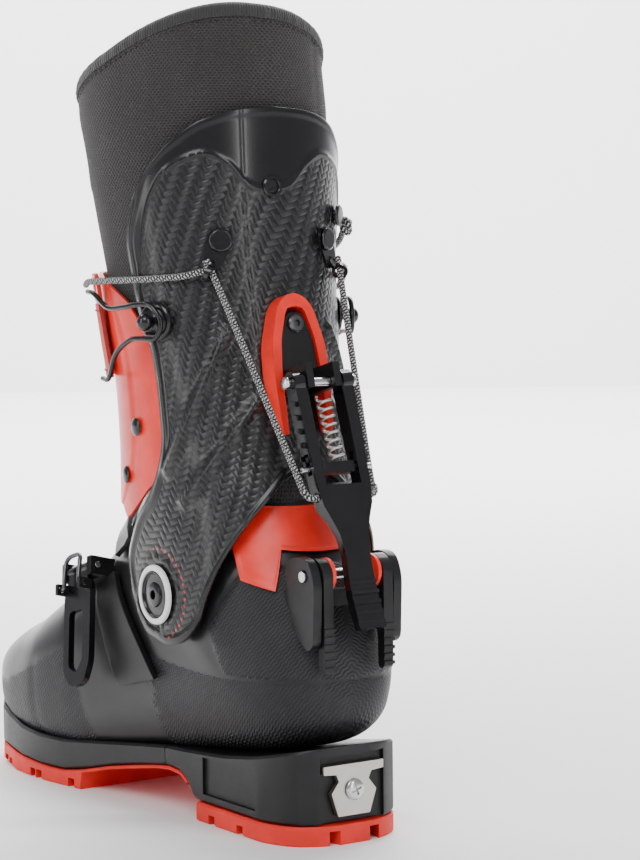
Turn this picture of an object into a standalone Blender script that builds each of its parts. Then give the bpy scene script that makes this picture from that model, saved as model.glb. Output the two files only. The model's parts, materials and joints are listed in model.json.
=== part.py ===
"""Alpine touring ski boot, left foot.

Lengths below are in millimetres in the boot's own frame: x to the outer side of the foot, y from toe
to heel with zero at mid-sole, z up from the floor. One empty carries everything and shifts that frame
so that the origin lies on the floor under the middle of the boot's bounding box.
"""
import math

import bmesh
import bpy
import numpy as np
from mathutils import Matrix, Vector

MM = 0.001
GAP = 0.35                 # clearance kept between touching pieces
FRAME_SHIFT = (1.61, -7.7, 0.0)

SHELL_WALL = 4.0           # lower shell
CUFF_WALL = 3.2            # carbon cuff
LINER_WALL = 5.0
PANEL_TOP = 1.95           # height of the red heel panel's face above the shell
BINDING_DEPTH = 3.0        # height of the liner's edge binding below its rim
PIVOT = (60.5, 106.0)      # ankle axis, y and z
BARREL = (118.0, 203.0)    # walk lever hinge, y and z
LOCK_PIN = (139.5, 120.0)  # lock pin behind the heel, y and z
LEVER_ARC = 88.0           # the closed lever runs round the ankle axis at this radius
CORD_HOLE = (135.5, 153.5)  # where each cord enters the walk lever's side, y and z
CORD_DIAMETER = 3.0
STUD_ANGLE, STUD_Z = 67.5, 230.0                  # strap studs, degrees from the back and height
GUIDE_ANGLE, GUIDE_Z = 27.0, 266.0                # cord guide rivets
EYE_ANGLE, EYE_Z, EYE_OUT = 33.5, 251.5, 5.6      # cord guide eyelets and their height above the cuff

# Lower shell sections: each is a closed ring hung between an upper and a back or sole point.
# upper y, upper z, lower y, lower z, half width, centre x, roundness above, roundness below
SHELL_RINGS = np.array([
    (-141.0, 46.0, -141.0, 33.0, 13.0, -1.0, 2.2, 2.4),
    (-136.5, 56.0, -138.0, 28.5, 25.0, -1.0, 2.2, 2.7),
    (-126.0, 65.0, -127.0, 25.0, 35.0, -0.5, 2.2, 3.0),
    (-108.0, 73.0, -112.0, 18.0, 42.5, 0.5, 2.2, 3.4),
    (-85.0, 82.0, -90.0, 12.5, 47.5, 1.0, 2.2, 3.4),
    (-62.0, 94.0, -62.0, 11.5, 49.5, 2.0, 2.2, 3.4),
    (-45.0, 105.0, -34.0, 13.0, 48.5, 2.0, 2.2, 3.3),
    (-33.0, 114.0, -5.0, 18.0, 46.0, 1.5, 2.2, 3.2),
    (-25.0, 122.0, 28.0, 24.0, 43.5, 1.0, 2.3, 3.2),
    (-19.0, 129.0, 62.0, 30.0, 42.0, 0.5, 2.4, 3.2),
    (-14.0, 135.0, 95.0, 35.0, 42.5, 0.0, 2.5, 3.2),
    (-11.0, 139.0, 122.0, 41.0, 43.0, 0.0, 2.5, 3.0),
    (-8.0, 142.0, 137.0, 52.0, 44.0, 0.0, 2.5, 2.8),
    (-6.0, 144.0, 141.5, 67.0, 44.0, 0.0, 2.5, 2.65),
    (-4.0, 146.0, 141.0, 82.0, 43.0, 0.0, 2.5, 2.4),
    (-3.0, 147.5, 137.0, 97.0, 41.5, 0.0, 2.4, 2.2),
    (-2.0, 149.0, 129.0, 114.0, 41.0, 0.0, 2.4, 2.15),
    (-1.0, 151.0, 117.0, 133.0, 39.0, 0.0, 2.4, 2.0),
    (0.0, 153.0, 106.0, 150.0, 37.0, 0.0, 2.3, 2.0)])
SHELL_LAST = len(SHELL_RINGS) - 1
SHELL_INDEX = np.arange(len(SHELL_RINGS))

# Leg sleeve, the outside of the cuff: z, centre y, half width, half depth, roundness
SLEEVE = np.array([
    (78.0, 55.0, 51.0, 61.0, 2.8), (105.0, 55.0, 51.0, 62.0, 2.75), (130.0, 54.0, 50.5, 64.0, 2.6),
    (150.0, 51.0, 49.5, 63.5, 2.4), (170.0, 47.0, 49.0, 60.5, 2.3), (200.0, 41.5, 49.5, 56.5, 2.25),
    (222.0, 38.0, 51.5, 55.0, 2.25), (253.0, 33.0, 54.5, 54.5, 2.25), (277.0, 30.0, 57.0, 56.0, 2.25),
    (302.0, 27.5, 59.0, 58.0, 2.25), (326.0, 25.0, 60.0, 60.0, 2.25), (345.0, 23.0, 60.0, 61.0, 2.25)])

# Liner leg outside: z, centre y, half width, half depth, roundness
LINER = np.array([
    (164.0, 48.0, 43.3, 54.5, 2.25), (200.0, 41.3, 44.4, 51.8, 2.25), (222.0, 37.8, 46.4, 50.2, 2.25),
    (253.0, 32.8, 49.5, 49.8, 2.25), (277.0, 29.5, 52.0, 51.6, 2.25), (302.0, 26.4, 54.2, 54.2, 2.25),
    (330.0, 22.5, 55.2, 57.5, 2.25), (350.0, 21.6, 53.5, 57.5, 2.25), (376.0, 21.6, 50.5, 55.5, 2.25)])

BLACK = (0.018, 0.018, 0.020)
CARBON = (0.020, 0.021, 0.024)
RED = (0.78, 0.045, 0.025)
CHARCOAL = (0.045, 0.043, 0.042)
STEEL = (0.55, 0.53, 0.50)
WHITE = (0.80, 0.80, 0.78)
GREY = (0.20, 0.20, 0.21)


# ---------------------------------------------------------------- set-up and small helpers

def clear_scene():
    for thing in list(bpy.data.objects):
        bpy.data.objects.remove(thing, do_unlink=True)


def new_collection(name):
    group = bpy.data.collections.new(name)
    bpy.context.scene.collection.children.link(group)
    return group


def material(name, colour, roughness, metallic=0.0):
    made = bpy.data.materials.new(name)
    made.use_nodes = True
    shader = made.node_tree.nodes["Principled BSDF"]
    shader.inputs["Base Color"].default_value = (*colour, 1.0)
    shader.inputs["Roughness"].default_value = roughness
    shader.inputs["Metallic"].default_value = metallic
    return made


def place(obj, colour_material, group=None):
    """Puts a new object into the boot, with its material and smooth shading."""
    for old in list(obj.users_collection):
        old.objects.unlink(obj)
    (group or BOOT).objects.link(obj)
    obj.parent = ROOT
    if colour_material:
        obj.data.materials.clear()
        obj.data.materials.append(colour_material)
    obj.data.shade_smooth()
    obj.data.set_sharp_from_angle(angle=math.radians(35))
    return obj


def mesh_object(name, points, faces, colour_material, group=None):
    mesh = bpy.data.meshes.new(name)
    mesh.from_pydata([tuple(float(c) * MM for c in p) for p in points], [], faces)
    work = bmesh.new()
    work.from_mesh(mesh)
    bmesh.ops.recalc_face_normals(work, faces=work.faces)
    work.to_mesh(mesh)
    work.free()
    obj = bpy.data.objects.new(name, mesh)
    return place(obj, colour_material, group)


def as_cutter(obj):
    obj.hide_render = True
    obj.display_type = 'WIRE'
    return obj


def boolean(obj, other, operation='DIFFERENCE'):
    step = obj.modifiers.new(operation.lower(), 'BOOLEAN')
    step.operation = operation
    step.object = other
    return obj


def soften(obj, width, segments=1, angle=40):
    step = obj.modifiers.new("bevel", 'BEVEL')
    step.width = width * MM
    step.segments = segments
    step.limit_method = 'ANGLE'
    step.angle_limit = math.radians(angle)
    return obj


def curve_value(x, xs, ys):
    """A smooth curve through (xs, ys), level beyond its ends."""
    if x <= xs[0]:
        return float(ys[0])
    if x >= xs[-1]:
        return float(ys[-1])
    i = int(np.searchsorted(xs, x, side='right')) - 1

    def slope(j):
        if j in (0, len(xs) - 1):
            j2 = 1 if j == 0 else j
            return (ys[j2] - ys[j2 - 1]) / (xs[j2] - xs[j2 - 1])
        before = (ys[j] - ys[j - 1]) / (xs[j] - xs[j - 1])
        after = (ys[j + 1] - ys[j]) / (xs[j + 1] - xs[j])
        if before * after <= 0:
            return 0.0
        return 2 * before * after / (before + after)

    width = xs[i + 1] - xs[i]
    t = (x - xs[i]) / width
    a, b = slope(i) * width, slope(i + 1) * width
    rise = ys[i + 1] - ys[i]
    return float(ys[i] + t * a + t * t * (3 * rise - 2 * a - b) + t ** 3 * (a + b - 2 * rise))


def signed_power(value, roundness):
    return math.copysign(abs(value) ** (2.0 / roundness), value)


def frame_matrix(origin, out, along):
    """A local frame at origin: z along `out`, y as near `along` as it can be."""
    z_axis = Vector(out).normalized()
    x_axis = Vector(along).cross(z_axis).normalized()
    y_axis = z_axis.cross(x_axis)
    turn = Matrix((x_axis, y_axis, z_axis)).transposed().to_4x4()
    return Matrix.Translation(Vector(origin) * MM) @ turn


def box(name, size, centre, colour_material, turn=(0, 0, 0), group=None):
    bpy.ops.mesh.primitive_cube_add(size=1.0)
    obj = bpy.context.object
    obj.name = name
    obj.data.name = name
    obj.data.transform(Matrix.Diagonal((*(s * MM for s in size), 1.0)))
    obj.location = Vector(centre) * MM
    obj.rotation_euler = [math.radians(a) for a in turn]
    return place(obj, colour_material, group)


AXIS_TURN = {'X': (0, 90, 0), 'Y': (90, 0, 0), 'Z': (0, 0, 0)}


def cylinder(name, radius, length, centre, axis, colour_material, group=None, sides=20, top=None):
    bpy.ops.mesh.primitive_cone_add(vertices=sides, radius1=radius * MM,
                                    radius2=(radius if top is None else top) * MM, depth=length * MM)
    obj = bpy.context.object
    obj.name = name
    obj.data.name = name
    obj.location = Vector(centre) * MM
    obj.rotation_euler = [math.radians(a) for a in AXIS_TURN[axis]]
    return place(obj, colour_material, group)


def turned(name, profile, matrix, colour_material, steps=14, group=None):
    """A turned solid: profile is (radius, height) from the axis at the top to the axis at the bottom,
    or a closed loop, clockwise from its inner top corner."""
    ring = profile[0] == profile[-1]
    corners = profile[:-1] if ring else profile
    edges = [(i, (i + 1) % len(corners)) for i in range(len(profile) - 1)]
    mesh = bpy.data.meshes.new(name)
    mesh.from_pydata([(r * MM, 0.0, h * MM) for r, h in corners], edges, [])
    obj = bpy.data.objects.new(name, mesh)
    place(obj, colour_material, group)
    obj.matrix_local = matrix
    screw = obj.modifiers.new("screw", 'SCREW')
    screw.steps = steps
    screw.render_steps = steps
    screw.use_merge_vertices = True
    screw.merge_threshold = 0.00001
    return obj


def curve_mesh(name, curve, colour_material, matrix=None, group=None):
    """Turns a curve into a closed mesh with its caps welded on."""
    guide = bpy.data.objects.new(name + "_curve", curve)
    bpy.context.scene.collection.objects.link(guide)
    if matrix:
        guide.matrix_world = matrix
    bpy.context.view_layer.update()
    mesh = bpy.data.meshes.new_from_object(guide.evaluated_get(bpy.context.evaluated_depsgraph_get()))
    work = bmesh.new()
    work.from_mesh(mesh)
    bmesh.ops.remove_doubles(work, verts=work.verts, dist=0.00001)
    work.to_mesh(mesh)
    work.free()
    obj = bpy.data.objects.new(name, mesh)
    mesh.name = name
    place(obj, colour_material, group)
    obj.matrix_local = guide.matrix_world.copy()
    bpy.data.objects.remove(guide, do_unlink=True)
    return obj


def tube(name, points, radius, colour_material, resolution=1):
    curve = bpy.data.curves.new(name, 'CURVE')
    curve.dimensions = '3D'
    curve.bevel_depth = radius * MM
    curve.bevel_resolution = resolution
    curve.use_fill_caps = True
    spline = curve.splines.new('POLY')
    spline.points.add(len(points) - 1)
    for target, p in zip(spline.points, points):
        target.co = (*(float(c) * MM for c in p), 1.0)
    return curve_mesh(name, curve, colour_material)


def plate(name, outline, thickness, matrix, colour_material, holes=(), bevel=0.0, group=None):
    """A flat plate: outline and holes are closed lists of (x, y), thickness runs both ways from z = 0."""
    curve = bpy.data.curves.new(name, 'CURVE')
    curve.dimensions = '2D'
    curve.fill_mode = 'BOTH'
    curve.extrude = thickness * MM / 2
    for loop in (outline, *holes):
        spline = curve.splines.new('POLY')
        spline.points.add(len(loop) - 1)
        for target, p in zip(spline.points, loop):
            target.co = (p[0] * MM, p[1] * MM, 0.0, 1.0)
        spline.use_cyclic_u = True
    obj = curve_mesh(name, curve, colour_material, matrix, group)
    if bevel:
        soften(obj, bevel)
    return obj


def round_outline(corners, radius, steps=4):
    """Rounds the corners of a polygon given anticlockwise."""
    points = []
    count = len(corners)
    for i, corner in enumerate(corners):
        here = Vector(corner)
        before = (Vector(corners[i - 1]) - here)
        after = (Vector(corners[(i + 1) % count]) - here)
        reach = min(radius, before.length * 0.45, after.length * 0.45)
        start = here + before.normalized() * reach
        end = here + after.normalized() * reach
        for s in range(steps + 1):
            t = s / steps
            points.append(tuple((1 - t) ** 2 * start + 2 * t * (1 - t) * here + t ** 2 * end))
    return points


def circle_outline(x, y, radius, steps=16):
    return [(x + radius * math.cos(2 * math.pi * i / steps), y + radius * math.sin(2 * math.pi * i / steps))
            for i in range(steps)]


def smooth_route(knots, spacing):
    """Points every `spacing` along a Catmull-Rom curve through the knots."""
    knots = [Vector(k) for k in knots]
    ends = [knots[0] * 2 - knots[1], *knots, knots[-1] * 2 - knots[-2]]
    dense = []
    for i in range(1, len(ends) - 2):
        a, b, c, d = ends[i - 1:i + 3]
        for s in range(20):
            t = s / 20
            dense.append(0.5 * (2 * b + (c - a) * t + (2 * a - 5 * b + 4 * c - d) * t * t
                                + (3 * b - a - 3 * c + d) * t ** 3))
    dense.append(knots[-1])
    walked = [0.0]
    for a, b in zip(dense, dense[1:]):
        walked.append(walked[-1] + (b - a).length)
    count = max(3, round(walked[-1] / spacing))
    marks = np.linspace(0.0, walked[-1], count + 1)
    columns = [np.interp(marks, walked, [p[axis] for p in dense]) for axis in range(3)]
    return [tuple(row) for row in zip(*columns)]


# ---------------------------------------------------------------- surfaces the boot is drawn on

def shell_point(k, angle, off=0.0, low_off=None):
    """A point of the lower shell: k runs from the toe to the ankle rim, angle in degrees from the top."""
    low_off = off if low_off is None else low_off
    k = min(max(k, 0.0), SHELL_LAST)
    row = [curve_value(k, SHELL_INDEX, SHELL_RINGS[:, column]) for column in range(8)]
    upper = Vector((0.0, row[0], row[1]))
    lower = Vector((0.0, row[2], row[3]))
    line = (upper - lower).normalized()
    upper += line * off
    lower -= line * low_off
    middle = (upper + lower) / 2
    t = math.radians(angle)
    c, s = math.cos(t), math.sin(t)
    roundness = row[6] if c >= 0 else row[7]
    side = (row[4] + off) * signed_power(s, roundness)
    return middle + (upper - middle) * signed_power(c, roundness) + Vector((row[5] + side, 0.0, 0.0))


def table_point(table, angle, z, off):
    centre, wide, deep, roundness = (curve_value(z, table[:, 0], table[:, i]) for i in (1, 2, 3, 4))
    t = math.radians(angle)
    return Vector(((wide + off) * signed_power(math.sin(t), roundness),
                   centre + (deep + off) * signed_power(math.cos(t), roundness), z))


def sleeve_point(angle, z, off=0.0):
    """A point of the leg sleeve: angle in degrees from the back, positive to the outer side."""
    return table_point(SLEEVE, angle, z, off)


def sleeve_normal(angle, z):
    across = sleeve_point(angle + 1.5, z) - sleeve_point(angle - 1.5, z)
    up = sleeve_point(angle, z + 2.0) - sleeve_point(angle, z - 2.0)
    return across.cross(up).normalized() * (1 if across.cross(up).dot(sleeve_point(angle, z)
                                            - sleeve_point(angle, z, -5.0)) > 0 else -1)


def shell_normal(k, angle):
    around = shell_point(k, angle + 2.0) - shell_point(k, angle - 2.0)
    along = shell_point(k + 0.15, angle) - shell_point(k - 0.15, angle)
    normal = around.cross(along).normalized()
    outward = shell_point(k, angle, 5.0) - shell_point(k, angle)
    return normal if normal.dot(outward) > 0 else -normal


# ---------------------------------------------------------------- lofts

def ring_faces(start_a, start_b, count):
    return [(start_a + j, start_a + (j + 1) % count, start_b + (j + 1) % count, start_b + j)
            for j in range(count)]


def loft(name, rings, colour_material, group=None):
    """A closed solid through rings of equal count, capped at both ends."""
    count = len(rings[0])
    points = [p for ring in rings for p in ring]
    faces = [tuple(range(count))]
    for i in range(len(rings) - 1):
        faces += ring_faces(i * count, (i + 1) * count, count)
    faces.append(tuple(range((len(rings) - 1) * count, len(rings) * count)))
    return mesh_object(name, points, faces, colour_material, group)


def cup(name, outer, inner, colour_material):
    """A hollow body closed at its first rings and open at its last."""
    count = len(outer[0])
    points = [p for ring in outer + inner for p in ring]
    base = len(outer) * count
    faces = [tuple(range(count)), tuple(range(base, base + count))]
    for i in range(len(outer) - 1):
        faces += ring_faces(i * count, (i + 1) * count, count)
    for i in range(len(inner) - 1):
        faces += ring_faces(base + i * count, base + (i + 1) * count, count)
    faces += ring_faces((len(outer) - 1) * count, base + (len(inner) - 1) * count, count)
    return mesh_object(name, points, faces, colour_material)


def sleeve_tube(name, outer, inner, colour_material):
    """A ring-shaped body open at both ends."""
    count = len(outer[0])
    points = [p for ring in outer + inner for p in ring]
    base = len(outer) * count
    faces = []
    for i in range(len(outer) - 1):
        faces += ring_faces(i * count, (i + 1) * count, count)
        faces += ring_faces(base + i * count, base + (i + 1) * count, count)
    for i in (0, len(outer) - 1):
        faces += ring_faces(i * count, base + i * count, count)
    return mesh_object(name, points, faces, colour_material)


def sheet(name, point, columns, rows, thick, colour_material, group=None):
    """A skin of even thickness: point(u, v, off) gives its place, u and v from 0 to 1."""
    nu, nv = columns + 1, rows + 1
    points = []
    for off in (0.0, -thick):
        for i in range(nu):
            points += [point(i / columns, j / rows, off) for j in range(nv)]
    half = nu * nv

    def at(i, j):
        return i * nv + j

    faces = []
    for i in range(columns):
        for j in range(rows):
            quad = (at(i, j), at(i + 1, j), at(i + 1, j + 1), at(i, j + 1))
            faces.append(quad)
            faces.append(tuple(half + q for q in reversed(quad)))
    edge = ([at(i, 0) for i in range(columns)] + [at(columns, j) for j in range(rows)]
            + [at(i, rows) for i in range(columns, 0, -1)] + [at(0, j) for j in range(rows, 0, -1)])
    for a, b in zip(edge, edge[1:] + edge[:1]):
        faces.append((a, b, half + b, half + a))
    return mesh_object(name, points, faces, colour_material, group)


def even(low, high, count):
    return [low + (high - low) * i / count for i in range(count + 1)]


ROUND = [360.0 * i / 24 for i in range(24)]
SHELL_STATIONS = even(0.0, SHELL_LAST, 18)
CAVITY_STATIONS = even(0.6, SHELL_LAST, 12)


def shell_solid(name, off, first=0.0):
    """The space taken by the lower shell and what it holds, used to cut pieces that hug it."""
    stations = [k for k in SHELL_STATIONS if k >= first]
    rings = [[shell_point(k, a, off) for a in ROUND] for k in stations]
    rings.insert(0, [p + Vector((0.0, -GAP, -GAP)) for p in rings[0]])
    return as_cutter(loft(name, rings, None, CUTTERS))


# ---------------------------------------------------------------- lower boot

def sole_outline(y):
    """Inner and outer edge of the sole at y."""
    stations = (-143.5, -141.5, -137.0, -128.0, -110.0, -85.0, -60.0, -30.0, 0.0, 30.0, 60.0,
                117.5, 129.0, 137.5, 142.0, 143.5)
    outer = (7.0, 15.0, 23.5, 33.0, 43.0, 48.5, 49.0, 45.0, 39.5, 35.5, 34.0, 34.0, 31.0, 24.5, 15.5, 8.0)
    inner = (7.0, 14.0, 22.5, 31.5, 41.5, 46.0, 44.5, 39.0, 35.5, 34.0, 33.5, 34.0, 31.0, 24.5, 15.5, 8.0)
    return -float(np.interp(y, stations, inner)), float(np.interp(y, stations, outer))


def sole_slab(name, stations, low, high, colour_material, inset=0.0, edge=1.2):
    """A slab with the sole's outline; low and high are tables of (y, z)."""
    rings = []
    for y in stations:
        left, right = sole_outline(y)
        left, right = left + inset, right - inset
        bottom = float(np.interp(y, *zip(*low)))
        top = float(np.interp(y, *zip(*high)))
        rings.append([(left + edge, y, bottom), (right - edge, y, bottom), (right, y, bottom + edge),
                      (right, y, top - edge), (right - edge, y, top), (left + edge, y, top),
                      (left, y, top - edge), (left, y, bottom + edge)])
    return loft(name, rings, colour_material)


def groove(obj, centre, size, turn=0.0):
    cutter = as_cutter(box(obj.name + "_groove", size, centre, None, (0, 0, turn), CUTTERS))
    return boolean(obj, cutter)


def make_soles():
    toe_end = [-143.2, -142.6, -140.0, -137.0, -132.0, -126.0, -118.0, -110.0]
    top = ((-143.5, 20.5), (-130.0, 15.0), (-110.0, 10.5), (-80.0, 8.5), (-46.0, 7.2), (-37.0, 8.0), (-24.0, 10.4),
           (-8.0, 14.2), (8.0, 17.0), (29.0, 20.4), (41.0, 21.6), (50.0, 20.6), (57.0, 16.5), (61.5, 10.5),
           (63.2, 9.3), (150.0, 9.3))

    def raised(by):
        return [(y, z + by) for y, z in top]

    fore = toe_end + even(-100.0, -30.0, 6) + [-27.5, -26.0, -16.0, -8.0, 8.0, 29.0, 41.0, 50.0, 56.0]
    web = 1.6
    tread = sole_slab("forefoot_tread", fore,
                      [(-143.5, 14.0), (-132.0, 7.5), (-115.0, 2.5), (-92.0, 0.0), (-27.5, 0.0), (-26.0, 8.2)]
                      + [(y, z - web) for y, z in top if y > -24.5], top, M_RED_RUBBER, edge=0.7)
    for i, y in enumerate((-128.0, -110.0, -92.0, -74.0, -56.0, -40.0)):
        depth = float(np.interp(y, (-143.5, -110.0, -90.0, -22.0, 0.0), (12.0, 5.0, 4.5, 4.5, 9.5)))
        groove(tread, (0, y, depth - 20.0), (120.0, 5.0, 40.0), 7.0 if i % 2 else -7.0)
    heel = sole_slab("heel_tread", [64.0] + even(72.0, 112.0, 4) + [118.0, 125.0, 131.0, 136.0, 140.0, 142.3, 143.2],
                     ((60.0, 0.0), (150.0, 0.0)), ((60.0, 8.9), (150.0, 8.9)), M_RED_RUBBER, edge=1.0)
    for i, y in enumerate((80.0, 98.0)):
        groove(heel, (0, y, -15.5), (90.0, 5.0, 40.0), 5.0 if i else -5.0)
    for side in (-1, 1):
        groove(heel, (side * 12.0, 137.0, -13.5), (5.0, 26.0, 40.0), side * 14.0)
    sole = sole_slab("forefoot_sole", toe_end + even(-100.0, 38.0, 7), raised(0.4),
                     ((-143.5, 37.0), (-120.0, 32.0), (-90.0, 25.0), (-50.0, 22.0), (0.0, 27.0), (38.0, 31.0)),
                     M_BLACK)
    boolean(sole, SHELL_CUTTER)
    block = sole_slab("heel_block", [38.6, 44.0, 50.0, 57.0, 61.5, 63.6] + even(72.0, 112.0, 4)
                      + [118.0, 125.0, 131.0, 136.0, 140.0, 142.6, 143.5], raised(0.4),
                      ((38.0, 31.0), (60.0, 32.0), (88.0, 34.0), (115.0, 38.0), (143.5, 44.0)), M_BLACK)
    boolean(block, SHELL_CUTTER)
    boolean(block, as_cutter(box("tray_gap", (62.0, 60.0, 40.0), (0, 108.0, 61.5), None, (8, 0, 0), CUTTERS)))
    for side in (-1, 1):
        groove(block, (side * 38.5, 92.0, 22.0), (12.0, 44.0, 17.0))
    groove(block, (0, 149.0, 24.0), (34.0, 20.0, 32.0))


def make_heel_fitting():
    face_y = 141.0
    matrix = Matrix.Translation(Vector((0, face_y, 0)) * MM) @ Matrix.Rotation(math.radians(90), 4, 'X')
    shape = [(-16.0, 35.6), (-16.0, 31.8), (-9.5, 31.2), (-8.0, 28.0), (-12.0, 23.0), (-8.5, 12.5),
             (8.5, 12.5), (12.0, 23.0), (8.0, 28.0), (9.5, 31.2), (16.0, 31.8), (16.0, 35.6)]
    plate("heel_fitting", shape, 3.0, matrix, M_STEEL, holes=[circle_outline(0, 24.0, 2.6, 12)])
    boolean(bpy.data.objects["heel_block"], as_cutter(
        plate("heel_fitting_slot", round_outline([(x * 1.03, z + (0.35 if z > 30 else -0.35)) for x, z in (
            (-16.0, 35.6), (-16.0, 12.5), (16.0, 12.5), (16.0, 35.6))], 1.0), 3.7, matrix, None, group=CUTTERS)))
    screw_matrix = Matrix.Translation(Vector((0, face_y + 1.85, 24.0)) * MM) @ Matrix.Rotation(
        math.radians(-90), 4, 'X')
    turned("heel_fitting_screw", [(0, 1.0), (1.6, 1.0), (1.9, 1.9), (4.4, 1.7), (4.7, 0.9), (4.7, 0.0), (2.2, 0.0),
                                  (2.2, -3.0), (0, -3.0)], screw_matrix, M_STEEL)


def make_toe_insert():
    bar = cylinder("toe_insert", 4.2, 58.0, (0, -130.0, 20.6), 'X', M_STEEL)
    for side in (-1, 1):
        small, large = 0.6, 3.0
        low, high = (large, small) if side < 0 else (small, large)
        boolean(bar, as_cutter(cylinder("socket_cutter", low, 5.0, (side * 27.2, -130.0, 20.6), 'X', None,
                                        CUTTERS, top=high)))
    boolean(bpy.data.objects["forefoot_sole"], as_cutter(
        cylinder("toe_insert_slot", 4.6, 90.0, (0, -130.0, 20.6), 'X', None, CUTTERS)))


def make_lower_shell():
    outer = [[shell_point(k, a) for a in ROUND] for k in SHELL_STATIONS]
    inner = [[shell_point(k, a, -SHELL_WALL) for a in ROUND] for k in CAVITY_STATIONS]
    shell = cup("lower_shell", outer, inner, M_BLACK)
    for side in (-1, 1):
        boolean(shell, as_cutter(cylinder("pivot_hole", 4.6, 30.0, (side * 45.0, *PIVOT), 'X', None, CUTTERS)))
    return shell


def make_floor_pieces():
    """Boot board under the liner, and the footbed inside it."""
    def slab(name, stations, angles, low, thick, colour_material):
        rings = []
        for k in stations:
            under = [shell_point(k, a, -low, -low) for a in angles]
            over = [shell_point(k, a, -low - 0.6, -low - thick) for a in reversed(angles)]
            rings.append(under + over)
        return loft(name, rings, colour_material)

    slab("boot_board", CAVITY_STATIONS[1:8], ROUND[9:16], SHELL_WALL + GAP, 5.6, M_GREY_FOAM)
    slab("footbed", [4.0, *CAVITY_STATIONS[3:8]], ROUND[9:16], SHELL_WALL + 2 * GAP + 6.2 + LINER_WALL + 1.6, 3.0,
         M_FOOTBED)


def make_liner():
    side_gap = SHELL_WALL + 3.4
    floor_gap = SHELL_WALL + 2 * GAP + 5.9
    last = [SHELL_LAST - 0.6]
    outer = [[shell_point(k, a, -side_gap, -floor_gap) for a in ROUND] for k in CAVITY_STATIONS[1:12] + last]
    inner = [[shell_point(k, a, -side_gap - LINER_WALL, -floor_gap - LINER_WALL) for a in ROUND]
             for k in CAVITY_STATIONS[2:12] + last]
    cup("liner_foot", outer, inner, M_LINER)

    def rim(angle):
        front = (1.0 - math.cos(math.radians(angle))) / 2.0
        return 343.0 + 27.0 * math.cos(math.radians(angle - 12.0)) + 8.0 * front ** 4

    def wall(off, low):
        return [[table_point(LINER, a, low + (rim(a) - BINDING_DEPTH - low) * t, off) for a in ROUND]
                for t in even(0.0, 1.0, 5)]

    sleeve_tube("liner_shaft", wall(0.0, 168.0), wall(-LINER_WALL, 168.0), M_LINER)

    foot = 0.8 - BINDING_DEPTH
    section = ((1.0, foot), (1.3, 0.2), (0.4, 2.2), (-2.5, 3.1), (-5.4, 2.2), (-6.3, 0.2), (-6.0, foot))
    size = len(section)
    points = [table_point(LINER, a, rim(a) + up, off) for a in ROUND for off, up in section]
    faces = []
    for i in range(len(ROUND)):
        faces += ring_faces(i * size, ((i + 1) % len(ROUND)) * size, size)
    mesh_object("liner_binding", points, faces, M_BLACK)


def make_achilles_panel():
    def point(u, v, off):
        angle = 180.0 - 54.0 + 108.0 * u
        side = abs(u - 0.5) * 2
        low = 15.7 + 1.05 * min(1.0, max(0.0, (0.667 - side) / 0.167))
        return shell_point(low + (SHELL_LAST - 0.15 - low) * v, angle, PANEL_TOP + off)

    sheet("achilles_panel", point, 12, 3, 1.35, M_RED)


def make_pivots():
    for side, word in ((1, "lateral"), (-1, "medial")):
        face = sleeve_point(90.0 * side, PIVOT[1])
        matrix = frame_matrix((face.x, *PIVOT), (side, 0, 0), (0, 0, 1))
        turned("pivot_ring_" + word, [(10.8, 2.2), (13.2, 2.2), (13.6, 1.4), (13.6, 0.5), (10.8, 0.5), (10.8, 2.2)],
               matrix, M_WHITE, 20)
        turned("pivot_bolt_" + word,
               [(0, 0.9), (1.8, 0.9), (2.2, 2.3), (5.2, 2.3), (5.8, 1.2), (9.4, 1.0), (10.3, 2.0), (10.3, 0.5),
                (7.6, 0.4), (7.6, -5.4), (4.2, -5.5), (4.2, -13.8), (0, -13.8)], matrix, M_BLACK, 16)
        turned("pivot_nut_" + word, [(4.6, -12.6), (7.4, -12.6), (7.4, -13.8), (4.6, -13.8), (4.6, -12.6)],
               matrix, M_STEEL, 14)


# ---------------------------------------------------------------- cuff

def cuff_front(z):
    """Angle of the cuff's front edge at height z."""
    return curve_value(z, (98.0, 106.0, 119.0, 135.0, 150.0, 180.0, 214.0, 237.0, 262.0, 288.0, 312.0),
                       (97.0, 101.0, 104.0, 99.0, 90.0, 77.0, 75.0, 79.0, 79.0, 70.0, 62.0))


def cuff_low(u):
    return curve_value(u, (0.0, 0.13, 0.25, 0.39, 0.556, 0.65, 0.73, 0.80, 0.86, 0.93, 1.0),
                       (163.5, 160.0, 151.0, 136.5, 110.0, 96.5, 88.5, 84.8, 83.8, 86.5, 96.0))


def cuff_high(u):
    return curve_value(u, (0.0, 0.2, 0.5, 0.75, 0.9, 1.0), (326.0, 325.0, 320.5, 311.0, 300.0, 285.0))


def make_cuff():
    def point(u, v, off):
        across = abs(2 * u - 1)
        low, high = cuff_low(across), cuff_high(across)
        z = low + (high - low) * v
        return sleeve_point((2 * u - 1) * cuff_front(z), z, off)

    cuff = sheet("cuff", point, 26, 9, CUFF_WALL, M_CARBON)
    for side in (-1, 1):
        boolean(cuff, as_cutter(cylinder("arm_hole", 8.1, 30.0, (side * 50.0, *PIVOT), 'X', None, CUTTERS)))
    boolean(cuff, as_cutter(cylinder("spine_hole", 3.0, 30.0, (0, 88.0, 290.0), 'Y', None, CUTTERS, sides=16)))
    return cuff


def make_tongue():
    def point(u, v, off):
        turn = 2 * u - 1
        top = 252.0 - 10.0 * turn ** 6
        bottom = 158.0 - 20.0 * abs(turn) ** 1.5
        z = bottom + (top - bottom) * v
        half = 180.0 - cuff_front(z) - 1.6
        edge = min(1.0, 0.86 + 0.14 * math.sqrt(min(v, 1 - v) * 6)) if min(v, 1 - v) < 1 / 6 else 1.0
        return sleeve_point(180.0 + turn * half * edge, z, -0.9 + off)

    sheet("tongue", point, 16, 6, 1.9, M_RED)


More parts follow.
